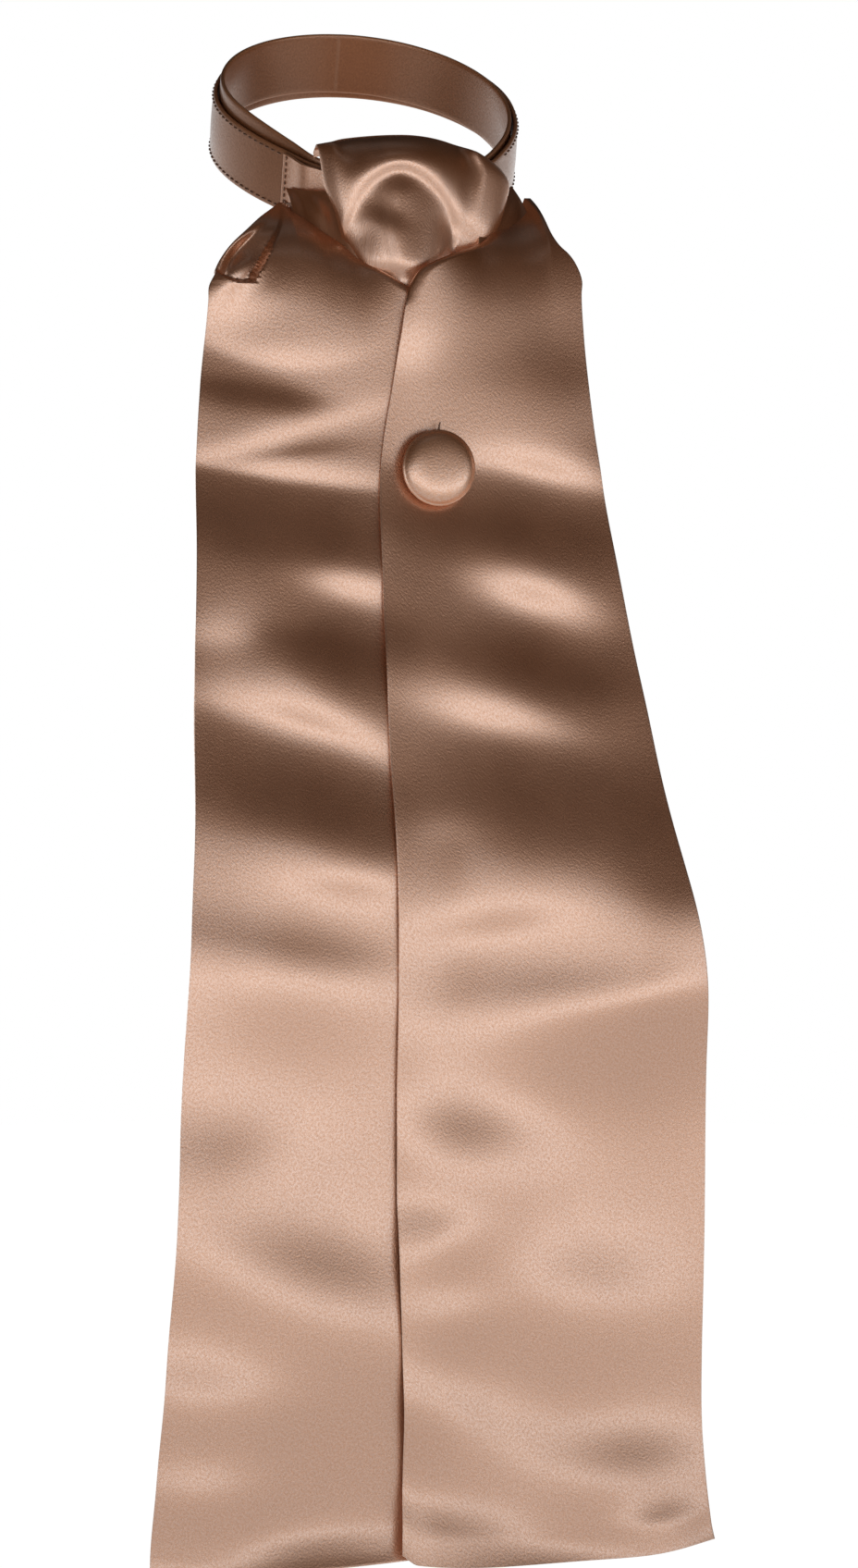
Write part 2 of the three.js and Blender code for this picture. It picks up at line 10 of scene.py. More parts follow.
import bpy
import numpy as np
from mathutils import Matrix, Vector


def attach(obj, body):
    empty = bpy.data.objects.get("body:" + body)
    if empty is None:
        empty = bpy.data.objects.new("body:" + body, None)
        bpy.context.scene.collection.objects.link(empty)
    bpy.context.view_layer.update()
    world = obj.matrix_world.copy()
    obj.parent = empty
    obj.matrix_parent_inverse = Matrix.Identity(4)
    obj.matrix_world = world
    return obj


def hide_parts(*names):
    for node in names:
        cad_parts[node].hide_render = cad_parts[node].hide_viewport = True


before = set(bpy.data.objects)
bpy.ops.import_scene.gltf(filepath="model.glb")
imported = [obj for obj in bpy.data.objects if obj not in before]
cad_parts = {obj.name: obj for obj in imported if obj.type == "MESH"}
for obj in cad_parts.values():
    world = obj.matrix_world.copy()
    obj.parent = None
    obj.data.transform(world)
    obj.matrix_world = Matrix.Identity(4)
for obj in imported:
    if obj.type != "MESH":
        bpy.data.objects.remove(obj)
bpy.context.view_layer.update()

bl_info = {
    "name": "Satin Cravat",
    "version": (1, 0, 0),
    "blender": (4, 5, 0),
    "location": "3D View > Sidebar > Cravat",
    "description": "Builds a worn satin cravat with a covered button",
    "category": "Object",
}

MM = 0.001

# Strap
STRAP_WIDTH = 22.6
STRAP_WALL = 1.5
LOOP_TILT = math.radians(26)
STRAP_LEAN = math.radians(18)
STRAP_STEPS = 240
STRAP_CROWN = 0.35
STRAP_WAVE = 0.25
STRAP_WAVE_REACH = 12
STRAP_MM_PER_DEGREE = 0.9
INNER_TURN_SLACK = 0.3
INNER_TURN_SEED = 4
OUTER_TURN_SEED = 5
OUTER_END_ANGLE = 175

# Cloth
TAIL_WALL = 1.3
HOOD_WALL = 1.2
WRAP_WALL = 1.2
GAP = 0.35

# Tails
HEM_Z = -500
HEM_CURL = 1.6
HEM_CURL_HEIGHT = 9
HEM_DROP_TOP = -440
CROSSING_Z = -52
SEAM_BEND_BLEND = 8
SEAM_FADE = 14
OVERLAP_TOP = -44
OVERLAP_FULL = -54
SEAM_LIFT_LOW = -520
SEAM_LIFT_TOP = 0
SEAM_RIDGE_REACH = 18
SEAM_EVENING = 10
EDGE_ROLL = 5.0
EDGE_ROLL_DEPTH = 2.4
EDGE_ROLL_FOOT_Z = -60
EDGE_ROLL_FADE = 8


class LoopRow(NamedTuple):
    angle: float
    radius: float
    rise: float


# The loop seen from above, from the back (-180) round by the left side (-90) to the front (0).
# "rise" is how far the inner turn shows above the outer one.
LOOP = [
    LoopRow(-180, 55.5, 3.0),
    LoopRow(-120, 55.5, 4.6),
    LoopRow(-90, 55.3, 5.4),
    LoopRow(-60, 53.2, 4.4),
    LoopRow(-44, 54.0, 2.8),
    LoopRow(-30, 57.5, 1.2),
    LoopRow(0, 60.0, 1.0),
    LoopRow(32, 61.0, 1.0),
    LoopRow(50, 58.0, 1.0),
    LoopRow(70, 56.2, 1.2),
    LoopRow(110, 55.5, 1.8),
    LoopRow(180, 55.5, 3.0),
]


class DepthRow(NamedTuple):
    z: float
    middle: float
    left_fall: float
    right_fall: float


# Front surface of both tails: depth on the middle line, and how fast each side falls back from it.
DEPTH = [
    DepthRow(-20, 79.8, 0.002, 0.0018),
    DepthRow(-44, 81, 0.0019, 0.0018),
    DepthRow(-60, 82.6, 0.0018, 0.0017),
    DepthRow(-87, 85.2, 0.0014, 0.0014),
    DepthRow(-107, 87.5, 0.0012, 0.0012),
    DepthRow(-122, 90.5, 0.001, 0.001),
    DepthRow(-162, 100.5, 0.0008, 0.0008),
    DepthRow(-202, 110.5, 0.0006, 0.0006),
    DepthRow(-242, 119, 0.0005, 0.0005),
    DepthRow(-282, 124.5, 0.0004, 0.0004),
    DepthRow(-322, 126, 0.0003, 0.0003),
    DepthRow(-503, 124, 0.0003, 0.0003),
]


class VRow(NamedTuple):
    x: float
    z: float


# The V that the tails' upper edges make.
V_EDGE = [
    VRow(-40, -24.5), VRow(-33.4, -29.3), VRow(-29, -33.5), VRow(-23.5, -38.3), VRow(-18, -44),
    VRow(-10.7, -48.2), VRow(-2.6, -52), VRow(3.2, -46), VRow(12.3, -42.7), VRow(24.4, -39.5),
    VRow(31.8, -35.3), VRow(43.6, -30.3), VRow(48.6, -26.4), VRow(51, -23.3),
]
TOP_FALL = 36
TOP_FALL_REACH = 8
TOP_FALL_CURVE = 2
LEFT_CORNER_X = -40
RIGHT_CORNER_X = 51


class EdgeRow(NamedTuple):
    z: float
    left: float
    right: float


# Outline of each tail, a row for each level.
LEFT_TAIL = [
    EdgeRow(-24.5, -40.5, -35),
    EdgeRow(-29.3, -50.4, -33.4),
    EdgeRow(-33.5, -56.6, -29),
    EdgeRow(-38.3, -62.6, -23.5),
    EdgeRow(-44, -67.4, -18),
    EdgeRow(-48.2, -69.8, -10.7),
    EdgeRow(-53, -72.4, -3.2),
    EdgeRow(-58, -72.8, 3),
    EdgeRow(-70, -74, 4),
    EdgeRow(-95, -77.6, 2),
    EdgeRow(-133, -80.5, 2),
    EdgeRow(-178, -83.6, 5),
    EdgeRow(-235, -87, 11),
    EdgeRow(-284, -90.8, 12),
    EdgeRow(-335, -94.4, 9),
    EdgeRow(-387, -97.9, 7),
    EdgeRow(-440, -102.5, 6),
    EdgeRow(-486, -106.6, 5),
    EdgeRow(-497, -107.2, 5),
]
RIGHT_TAIL = [
    EdgeRow(-23.3, 51, 52.8),
    EdgeRow(-26.4, 48.6, 52.4),
    EdgeRow(-30.3, 43.6, 52.2),
    EdgeRow(-35.3, 31.8, 52.8),
    EdgeRow(-39.5, 24.4, 55),
    EdgeRow(-42.7, 12.3, 58.2),
    EdgeRow(-46, 3.2, 60.4),
    EdgeRow(-52, -2.6, 62.4),
    EdgeRow(-57, -4.4, 61.9),
    EdgeRow(-70, -6.8, 62),
    EdgeRow(-89, -10.2, 62.9),
    EdgeRow(-105, -13.4, 64.3),
    EdgeRow(-121, -15.6, 66.3),
    EdgeRow(-159, -16.9, 71),
    EdgeRow(-203, -17.9, 77.4),
    EdgeRow(-239, -17.7, 82.8),
    EdgeRow(-278, -17.8, 90.6),
    EdgeRow(-291, -18, 92.4),
    EdgeRow(-331, -18.8, 94.4),
    EdgeRow(-381, -18.8, 95),
    EdgeRow(-432, -17.6, 94.3),
    EdgeRow(-466, -17.2, 94.9),
    EdgeRow(-493, -17.9, 97.5),
    EdgeRow(-501, -18.2, 99),
]


class Lean(NamedTuple):
    """A fold's face: a lens of cloth that leans out (lean above zero) or in (below zero) as it goes down.

    x and z are its middle. Slope is in degrees, below zero where its right end is the lower one, and bend
    lowers its ends. Left and right are half lengths, above and below half heights. The step that the
    lean leaves in the cloth dies away over the relax length.
    """

    x: float
    z: float
    slope: float
    bend: float
    left: float
    right: float
    above: float
    below: float
    lean: float
    relax: float = 50


LEFT_FOLDS = [
    Lean(-66, -62, 10, 0, 18, 18, 6, 9, -0.16, 40),
    Lean(-50, -79, -8, -5, 26, 26, 6, 3, -0.16, 50),
    Lean(-54, -91, -8, 0, 30, 18, 4, 5, 0.26, 40),
    Lean(-62, -45, 30, 0, 9, 9, 4, 4, 0.5, 8),
    Lean(-66, -126, 0, 0, 24, 30, 10, 12, 0.08, 50),
    Lean(-44, -103, 15, 0, 34, 32, 4, 4, -0.16, 50),
    Lean(-48, -111, 7, 0, 22, 20, 3, 3, 0.12, 50),
    Lean(-48, -118, -8, -1, 42, 40, 7, 3, -0.3, 60),
    Lean(-46, -138, -6, 0, 44, 36, 9, 11, 0.2, 50),
    Lean(-28, -157, -12, 0, 18, 28, 7, 6, -0.3, 50),
    Lean(-73, -172, 0, 0, 16, 14, 8, 6, -0.15, 50),
    Lean(-34, -179, -12, 0, 30, 28, 7, 10, 0.24, 44),
    Lean(-46, -202, -18, 4, 38, 36, 8, 6, -0.29, 36),
    Lean(-42, -233, -14, 3, 42, 42, 15, 15, 0.22, 44),
    Lean(-34, -259, -8, 0, 24, 26, 7, 7, -0.17, 50),
    Lean(-54, -279, -10, 0, 50, 42, 12, 13, 0.19, 34),
    Lean(-88, -348, 4, 0, 30, 34, 16, 16, 0.17, 60),
    Lean(-50, -390, -17, 0, 54, 52, 19, 22, 0.24, 60),
    Lean(-88, -428, -8, 0, 30, 38, 17, 15, 0.27, 60),
    Lean(-88, -464, 0, 0, 28, 26, 11, 10, 0.27, 40),
    Lean(-56, -491, 0, 0, 52, 54, 10, 10, 0.38, 40),
]
RIGHT_FOLDS = [
    Lean(52, -84, -5, 0, 28, 22, 14, 16, 0.12, 60),
    Lean(8, -114, -3, 0, 26, 20, 8, 4, -0.12, 50),
    Lean(46, -118, -13, 1, 26, 26, 8, 5, -0.3, 50),
    Lean(28, -138, -6, 0, 60, 44, 9, 12, 0.2, 50),
    Lean(38, -161, -17, 0, 24, 24, 9, 9, -0.34, 40),
    Lean(36, -186, -12, 0, 50, 42, 8, 9, 0.16, 50),
    Lean(24, -203, -13, 0, 30, 28, 9, 7, -0.27, 36),
    Lean(44, -236, 0, 0, 64, 60, 18, 20, 0.17, 60),
    Lean(2, -240, 0, 0, 14, 16, 8, 8, -0.1, 40),
    Lean(84, -262, 0, 0, 34, 36, 32, 24, 0.22, 50),
    Lean(16, -273, 6, 0, 34, 30, 9, 8, -0.17, 30),
    Lean(60, -294, 4, 0, 50, 42, 12, 11, 0.27, 34),
    Lean(5, -345, -8, 0, 28, 34, 14, 16, 0.22, 60),
    Lean(-8, -377, 0, 0, 18, 20, 9, 10, 0.2, 40),
    Lean(50, -398, -6, 0, 38, 36, 17, 17, 0.16, 60),
    Lean(-4, -406, 0, 0, 18, 20, 8, 9, 0.2, 40),
    Lean(-6, -438, -20, 0, 24, 36, 15, 18, 0.25, 60),
    Lean(66, -465, -4, 0, 38, 34, 16, 14, 0.3, 50),
    Lean(78, -487, 0, 0, 20, 20, 8, 7, 0.34, 30),
    Lean(-4, -486, -8, 0, 30, 44, 13, 12, 0.38, 40),
]


def read_table(rows, key, at, column):
    """Reads one column of a table at values of its key column, on a smooth curve through the rows."""
    keys = np.array([getattr(row, key) for row in rows], float)
    values = np.array([getattr(row, column) for row in rows], float)
    if keys[0] > keys[-1]:
        keys, values = keys[::-1], values[::-1]
    steps = np.diff(keys)
    slopes = np.diff(values) / steps
    tangents = np.concatenate([slopes[:1], (slopes[1:] + slopes[:-1]) / 2, slopes[-1:]])
    x = np.clip(at, keys[0], keys[-1])
    i = np.clip(np.searchsorted(keys, x, side="left") - 1, 0, len(steps) - 1)
    t = (x - keys[i]) / steps[i]
    rise = values[i] + (values[i + 1] - values[i]) * t * t * (3 - 2 * t)
    return rise + steps[i] * (tangents[i] * t * (1 - t) ** 2 + tangents[i + 1] * t * t * (t - 1))


def smoothstep(x, low, high):
    t = np.clip((x - low) / (high - low), 0, 1)
    return t * t * (3 - 2 * t)


def lerp(a, b, t):
    return a + (b - a) * t


def soft_min(a, b, blend=1.0):
    return (a + b - np.sqrt((a - b) ** 2 + blend**2)) / 2


def soft_noise(x, z, scale, seed):
    """A smooth wavy value from -1 to 1, the same on every run."""
    angles = seed * np.array([1.7, 2.9, 4.3, 5.1])
    waves = np.array([0.9, 1.3, 1.9, 2.6])
    total = 0
    for angle, wave in zip(angles, waves):
        total = total + np.sin((x * np.cos(angle) + z * np.sin(angle)) * wave / scale + angle * 3) / wave
    return total / np.sum(1 / waves)


# Meshes


def mesh_object(name, points, faces, uvs=None, edge=None):
    mesh = bpy.data.meshes.new(name)
    mesh.from_pydata([tuple(p) for p in np.asarray(points) * MM], [], [tuple(f) for f in faces])
    if uvs is not None:
        layer = mesh.uv_layers.new(name="UVMap")
        corners = np.empty(len(mesh.loops), int)
        mesh.loops.foreach_get("vertex_index", corners)
        layer.data.foreach_set("uv", (np.asarray(uvs)[corners] * MM).ravel())
    if edge is not None:
        attribute = mesh.attributes.new("edge", "FLOAT", "POINT")
        attribute.data.foreach_set("value", np.asarray(edge, float).ravel())
    mesh.validate()
    made = bpy.data.objects.new(name, mesh)
    bpy.context.scene.collection.objects.link(made)
    return made


def grid_object(name, grid, closed=False):
    """One sheet of quads through a grid of points, with the way along the cloth as its UV map."""
    rows, columns = grid.shape[:2]
    index = np.arange(rows * columns).reshape(rows, columns)
    right = np.roll(index, -1, axis=1) if closed else index[:, 1:]
    left = index if closed else index[:, :-1]
    faces = np.stack([left[:-1], left[1:], right[1:], right[:-1]], -1).reshape(-1, 4)
    across = np.zeros((rows, columns))
    across[:, 1:] = np.cumsum(np.linalg.norm(np.diff(grid, axis=1), axis=2), axis=1)
    across -= across[:, columns // 2][:, None]
    down = np.zeros((rows, columns))
    down[1:] = np.cumsum(np.linalg.norm(np.diff(grid, axis=0), axis=2), axis=0)
    down += (grid[0, :, 2].max() - grid[0, :, 2])[None, :]
    uvs = np.stack([across, -down], -1).reshape(-1, 2)
    from_side = np.minimum(across - across[:, :1], across[:, -1:] - across)
    from_end = np.minimum(down - down[:1], down[-1:] - down)
    from_edge = from_end if closed else np.minimum(from_side, from_end)
    return mesh_object(name, grid.reshape(-1, 3), faces, uvs, from_edge.reshape(-1))


def select_only(piece):
    bpy.ops.object.select_all(action="DESELECT")
    piece.select_set(True)
    bpy.context.view_layer.objects.active = piece


def apply_modifiers(piece):
    select_only(piece)
    for modifier in list(piece.modifiers):
        bpy.ops.object.modifier_apply(modifier=modifier.name)


def thicken(piece, wall, round_edge=0.42):
    """Gives a sheet its wall, behind its front, and rounds the edge all the way round."""
    solid = piece.modifiers.new("wall", "SOLIDIFY")
    solid.thickness = wall * MM
    solid.offset = -1
    solid.use_even_offset = False
    bevel = piece.modifiers.new("edge", "BEVEL")
    bevel.limit_method = "ANGLE"
    bevel.angle_limit = math.radians(60)
    bevel.width = wall * round_edge * MM
    bevel.segments = 2
    bevel.use_clamp_overlap = True
    apply_modifiers(piece)
    bpy.ops.object.shade_smooth()


def cloth_piece(name, grid, wall, material, replaces, closed=False):
    piece = grid_object(name, grid, closed)
    piece.data.materials.append(material)
    thicken(piece, wall)
    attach(piece, "root")
    if replaces:
        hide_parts(*replaces)
    return piece


# Cloth surfaces


def fold_depth(row, x, z):
    """How far one fold's face has brought the cloth forward at a point."""
    aside = x - row.x
    along = aside / np.where(aside < 0, row.left, row.right)
    line = row.z + math.tan(math.radians(row.slope)) * aside - row.bend * np.minimum(along**2, 4)
    down = line - z
    upper = row.above * (1 + np.tanh(down / row.above))
    lower = row.above + row.below * np.tanh(down / row.below)
    step = np.where(down < 0, upper, lower) * np.exp(-((np.maximum(down, 0) / row.relax) ** 2))
    return row.lean * np.exp(-(along**2)) * step


def plain_depth(x, z):
    middle = read_table(DEPTH, "z", z, "middle")
    left = read_table(DEPTH, "z", z, "left_fall")
    right = read_table(DEPTH, "z", z, "right_fall")
    front = middle - np.where(x < 0, left, right) * x * x
    to_corner = np.clip(np.where(x < 0, x / LEFT_CORNER_X, x / RIGHT_CORNER_X), 0, 1)
    below_v = np.maximum(read_table(V_EDGE, "x", x, "z") - z, 0)
    return front - TOP_FALL * to_corner**TOP_FALL_CURVE * np.exp(-below_v / TOP_FALL_REACH)


def hem_curl(z):
    up = np.clip(1 - (z - HEM_Z) / HEM_CURL_HEIGHT, 0, 1)
    return HEM_CURL * up * up


def own_depth(folds, x, z):
    """A tail's depth from its own folds alone."""
    return plain_depth(x, z) + hem_curl(z) + sum(fold_depth(row, x, z) for row in folds)


def seam_x(z):
    """The upper tail's left edge, where it lies over the under tail, and straight up above the crossing."""
    return read_table(RIGHT_TAIL, "z", soft_min(z, CROSSING_Z + 2, SEAM_BEND_BLEND), "left")


def roll_at_edge(z):
    return EDGE_ROLL_DEPTH * smoothstep(z, EDGE_ROLL_FOOT_Z, EDGE_ROLL_FOOT_Z + EDGE_ROLL_FADE)


def seam_lift_curve():
    """How far the upper tail's left edge lifts over the under tail, at each level.

    It is the highest of the ridges near that level, evened out, so that they don't show through as steps.
    """
    z = np.arange(SEAM_LIFT_LOW, SEAM_LIFT_TOP, 1.0)
    edge = seam_x(z)
    beneath = own_depth(LEFT_FOLDS, edge, z) + TAIL_WALL + GAP + roll_at_edge(z)
    short = np.maximum(beneath - own_depth(RIGHT_FOLDS, edge, z), 0)
    short *= smoothstep(z, OVERLAP_TOP, OVERLAP_FULL)
    reach = np.arange(-SEAM_RIDGE_REACH, SEAM_RIDGE_REACH + 1)
    highest = np.max([np.roll(short, step) for step in reach], axis=0)
    weights = np.exp(-((reach / SEAM_EVENING) ** 2))
    evened = np.convolve(np.pad(highest, SEAM_RIDGE_REACH, "edge"), weights / weights.sum(), "valid")
    return z, evened


def upper_depth(x, z):
    """The upper tail's depth, lifted along its left edge wherever the under tail stands prouder."""
    levels, lifts = SEAM_LIFT
    inside = np.maximum(x - seam_x(z), 0)
    return own_depth(RIGHT_FOLDS, x, z) + np.interp(z, levels, lifts) * np.exp(-((inside / SEAM_FADE) ** 2))


SEAM_LIFT = seam_lift_curve()


class Pleat(NamedTuple):
    """The open pleat at the top of the left tail.

    The cloth left of a slanting slit lies further back, and dives behind a curved lip at its foot.
    """

    slit_top_x: float = -39.5
    slit_top_z: float = -25
    slit_foot_x: float = -56
    slit_foot_z: float = -50
    slit_width: float = 1.0
    step_at_top: float = 2.2
    step_at_lip: float = 9
    lip_x: float = -59.5
    lip_z: float = -52
    lip_half: float = 10.5
    lip_rise: float = 4.2
    lip_width: float = 1.0


PLEAT = Pleat()


def pleat_drop(x, z):
    p = PLEAT
    down = np.clip((p.slit_top_z - z) / (p.slit_top_z - p.slit_foot_z), 0, 1)
    slit_x = lerp(p.slit_top_x, p.slit_foot_x, down)
    left_of_slit = 1 - smoothstep(x, slit_x - p.slit_width, slit_x)
    lip_z = p.lip_z + p.lip_rise * ((x - p.lip_x) / p.lip_half) ** 2
    above_lip = smoothstep(z, lip_z, lip_z + p.lip_width)
    from_side = x - read_table(LEFT_TAIL, "z", z, "left")
    kept_at_side = lerp(0.35, 1, smoothstep(from_side, 0, 6))
    step = lerp(p.step_at_top, p.step_at_lip, smoothstep(down, 0.15, 0.75))
    return kept_at_side * left_of_slit * above_lip * step


def edge_roll(from_fold, z):
    near_top = smoothstep(z, EDGE_ROLL_FOOT_Z, EDGE_ROLL_FOOT_Z + EDGE_ROLL_FADE)
    inward = np.clip(1 - from_fold / EDGE_ROLL, 0, 1)
    return EDGE_ROLL_DEPTH * near_top * (1 - np.sqrt(1 - inward**2))


def under_depth(x, z):
    """The under tail's depth: its own, and close behind the upper tail where that covers it."""
    own = own_depth(LEFT_FOLDS, x, z)
    edge = seam_x(z)
    covered = upper_depth(x, z) - roll_at_edge(z) - TAIL_WALL - GAP
    hidden = smoothstep(x, edge - 1, edge + 1) * smoothstep(z, OVERLAP_TOP, OVERLAP_FULL + 2)
    return lerp(own, np.minimum(own, covered), hidden) - pleat_drop(x, z)


class LevelRow(NamedTuple):
    down_to: float
    step: float


# Rows of a tail's mesh from the top: close together where the cloth is creased, wider below.
TAIL_LEVELS = [LevelRow(-56, 0.5), LevelRow(-120, 0.9), LevelRow(-310, 1.3)]
ABOVE_HEM = 14
PLAIN_STEP = 2.2
HEM_STEP = 1.2


def tail_levels(top, hem):
    levels = [top]
    for row in [*TAIL_LEVELS, LevelRow(hem + ABOVE_HEM, PLAIN_STEP), LevelRow(hem, HEM_STEP)]:
        levels += list(np.arange(levels[-1] - row.step, row.down_to, -row.step))
    return np.array([*levels, hem])


class Hem(NamedTuple):
    """A tail's lower edge: its level, how far it sags about a middle, and how far its left corner lifts."""

    z: float
    sag: float
    middle_x: float
    half: float
    corner_lift: float = 0


LEFT_HEM = Hem(-496, 3.6, -38, 72)
RIGHT_HEM = Hem(HEM_Z, 2.6, 44, 50, 3)


def hem_drop(hem, x):
    sag = hem.sag * (1 - ((x - hem.middle_x) / hem.half) ** 2)
    return sag - hem.corner_lift * smoothstep(x, -13, -19)


def edge_spaced(count):
    """Shares across a piece, closer together near its two edges."""
    even = np.linspace(0, 1, count)
    return lerp(even, (1 - np.cos(np.pi * even)) / 2, 0.55)


def tail_grid(outline, hem, depth_at, folded_edge, columns=84):
    z = tail_levels(outline[0].z, hem.z)[:, None]
    left = read_table(outline, "z", z, "left")
    right = read_table(outline, "z", z, "right")
    x = lerp(left, right, edge_spaced(columns)[None, :])
    fold_x = right if folded_edge == "right" else left
    roll = edge_roll(np.abs(x - fold_x), z)
    low = z - hem_drop(hem, x) * smoothstep(z, HEM_DROP_TOP, hem.z)
    return np.stack([x, roll - depth_at(x, z), low + 0 * x], -1)


def on_strap(angle, up, out):
    """A point on the strap's loop: degrees from the front, up its face, and out from its outer face."""
    turn = np.radians(angle)
    radius = read_table(LOOP, "angle", angle, "radius") + out
    forward = radius * np.cos(turn)
    x = radius * np.sin(turn)
    y = -forward * math.cos(LOOP_TILT) - up * math.sin(STRAP_LEAN)
    z = -forward * math.sin(LOOP_TILT) + up * math.cos(STRAP_LEAN)
    return np.stack(np.broadcast_arrays(x, y, z), -1)


# Materials


def new_material(name):
    material = bpy.data.materials.new(name)
    material.use_nodes = True
    tree = material.node_tree
    tree.nodes.clear()
    output = tree.nodes.new("ShaderNodeOutputMaterial")
    shader = tree.nodes.new("ShaderNodeBsdfPrincipled")
    tree.links.new(shader.outputs["BSDF"], output.inputs["Surface"])
    return material, tree, shader


def satin_group():
    """The satin's own grain along the threads and its broad changes of tone, and an edge colour mixed in
    near every edge: painted highlight on most pieces, painted shade on the tails.
    """
    name = "Satin Weave"
    if name in bpy.data.node_groups:
        return bpy.data.node_groups[name]
    group = bpy.data.node_groups.new(name, "ShaderNodeTree")
    sockets = group.interface
    sockets.new_socket("Place", in_out="INPUT", socket_type="NodeSocketVector")
    sockets.new_socket("Colour", in_out="INPUT", socket_type="NodeSocketColor")
    sockets.new_socket("Edge Colour", in_out="INPUT", socket_type="NodeSocketColor")
    sockets.new_socket("Grain", in_out="INPUT", socket_type="NodeSocketFloat")
    sockets.new_socket("Bump", in_out="INPUT", socket_type="NodeSocketFloat")
    sockets.new_socket("Colour", in_out="OUTPUT", socket_type="NodeSocketColor")
    sockets.new_socket("Roughness", in_out="OUTPUT", socket_type="NodeSocketFloat")
    sockets.new_socket("Sheen Grain", in_out="OUTPUT", socket_type="NodeSocketFloat")
    sockets.new_socket("Normal", in_out="OUTPUT", socket_type="NodeSocketVector")
    nodes, links = group.nodes, group.links
    given = nodes.new("NodeGroupInput")
    result = nodes.new("NodeGroupOutput")
    stretch = nodes.new("ShaderNodeMapping")
    stretch.inputs["Rotation"].default_value = (0, 0, math.radians(35))
    stretch.inputs["Scale"].default_value = (1.0, 0.85, 1.0)
    links.new(given.outputs["Place"], stretch.inputs["Vector"])

    def noise(scale, detail, source):
        made = nodes.new("ShaderNodeTexNoise")
        made.inputs["Scale"].default_value = scale
        made.inputs["Detail"].default_value = detail
        links.new(source, made.inputs["Vector"])
        return made.outputs["Fac"]

    def math_node(operation, a, b):
        made = nodes.new("ShaderNodeMath")
        made.operation = operation
        for socket, value in zip(made.inputs, (a, b)):
            if isinstance(value, (int, float)):
                socket.default_value = value
            else:
                links.new(value, socket)
        return made.outputs[0]

    def mapped(value, low, high, to_low, to_high):
        made = nodes.new("ShaderNodeMapRange")
        links.new(value, made.inputs["Value"])
        for socket, number in zip(list(made.inputs)[1:5], (low, high, to_low, to_high)):
            socket.default_value = number
        return made.outputs["Result"]

    fine = noise(1350, 2, stretch.outputs["Vector"])
    cloud = noise(42, 3, given.outputs["Place"])
    grain = math_node("MULTIPLY", math_node("SUBTRACT", fine, 0.5), given.outputs["Grain"])
    shade = math_node("ADD", math_node("ADD", grain, 1.0), mapped(cloud, 0.3, 0.7, -0.05, 0.05))
    tone = nodes.new("ShaderNodeVectorMath")
    tone.operation = "SCALE"
    links.new(given.outputs["Colour"], tone.inputs[0])
    links.new(shade, tone.inputs["Scale"])
    # Within 0.9 mm of an edge the colour turns up to three quarters of the way to the edge colour: painted
    # highlight where that colour is paler, painted shade where it is darker.
    edge = nodes.new("ShaderNodeAttribute")
    edge.attribute_name = "edge"
    painted_edge = mapped(edge.outputs["Fac"], 0.0, 0.9, 0.75, 0.0)
    mix = nodes.new("ShaderNodeMix")
    mix.data_type = "RGBA"
    links.new(painted_edge, mix.inputs["Factor"])
    links.new(tone.outputs["Vector"], mix.inputs["A"])
    links.new(given.outputs["Edge Colour"], mix.inputs["B"])
    links.new(mix.outputs["Result"], result.inputs["Colour"])
    links.new(mapped(cloud, 0.3, 0.7, 0.33, 0.38), result.inputs["Roughness"])
    links.new(mapped(fine, 0.38, 0.62, 0.25, 1.0), result.inputs["Sheen Grain"])
    bump = nodes.new("ShaderNodeBump")
    bump.inputs["Distance"].default_value = 0.00025
    links.new(given.outputs["Bump"], bump.inputs["Strength"])
    links.new(fine, bump.inputs["Height"])
    links.new(bump.outputs["Normal"], result.inputs["Normal"])
    return group


SATIN_GLOSS_TINT = (1.0, 0.61, 0.42, 1)


def satin_material(name, colour, edge_colour, gloss=3.3, coat=2.5, grain=1.3, bump=0.38, along="UV"):
    if name in bpy.data.materials:
        return bpy.data.materials[name]
    material, tree, shader = new_material(name)
    weave_and_edges = tree.nodes.new("ShaderNodeGroup")
    weave_and_edges.node_tree = satin_group()
    place = tree.nodes.new("ShaderNodeTexCoord")
    tree.links.new(place.outputs[along], weave_and_edges.inputs["Place"])
    weave_and_edges.inputs["Colour"].default_value = (*colour, 1)
    weave_and_edges.inputs["Edge Colour"].default_value = (*edge_colour, 1)
    weave_and_edges.inputs["Grain"].default_value = grain
    weave_and_edges.inputs["Bump"].default_value = bump
    tree.links.new(weave_and_edges.outputs["Colour"], shader.inputs["Base Color"])
    tree.links.new(weave_and_edges.outputs["Roughness"], shader.inputs["Roughness"])
    tree.links.new(weave_and_edges.outputs["Sheen Grain"], shader.inputs["Coat Weight"])
    tree.links.new(weave_and_edges.outputs["Normal"], shader.inputs["Normal"])
    shader.inputs["IOR"].default_value = gloss
    shader.inputs["Specular IOR Level"].default_value = 1.0
    shader.inputs["Specular Tint"].default_value = SATIN_GLOSS_TINT
    shader.inputs["Coat IOR"].default_value = coat
    shader.inputs["Coat Roughness"].default_value = 0.22
    return material


def colours():
    return bpy.context.scene.cravat_colours


def sizes():
    return bpy.context.scene.cravat_sizes


def main_satin():
    c = colours()
    return satin_material("Satin", c.satin, c.painted_edge)


# The tails' edge colour is dark: painted shade along every edge of the tails, standing in for the shadow
# line where the upper tail lies over the under one.
def tail_satin():
    c = colours()
    return satin_material("Tail Satin", c.satin, c.seam)


# A darker colour and weaker gloss than the knot's and tails' satin: painted shade on the strap.
def shaded_strap_satin():
    c = colours()
    return satin_material("Strap Satin", c.strap, c.painted_edge, gloss=1.8, coat=1.35)


# The knot's satin with weaker gloss, so the left strap end and the tuck beside the knot come out darker:
# painted shade.
def shaded_satin():
    c = colours()
    return satin_material("Strap End Satin", c.satin, c.painted_edge, gloss=2.8, coat=2.1)


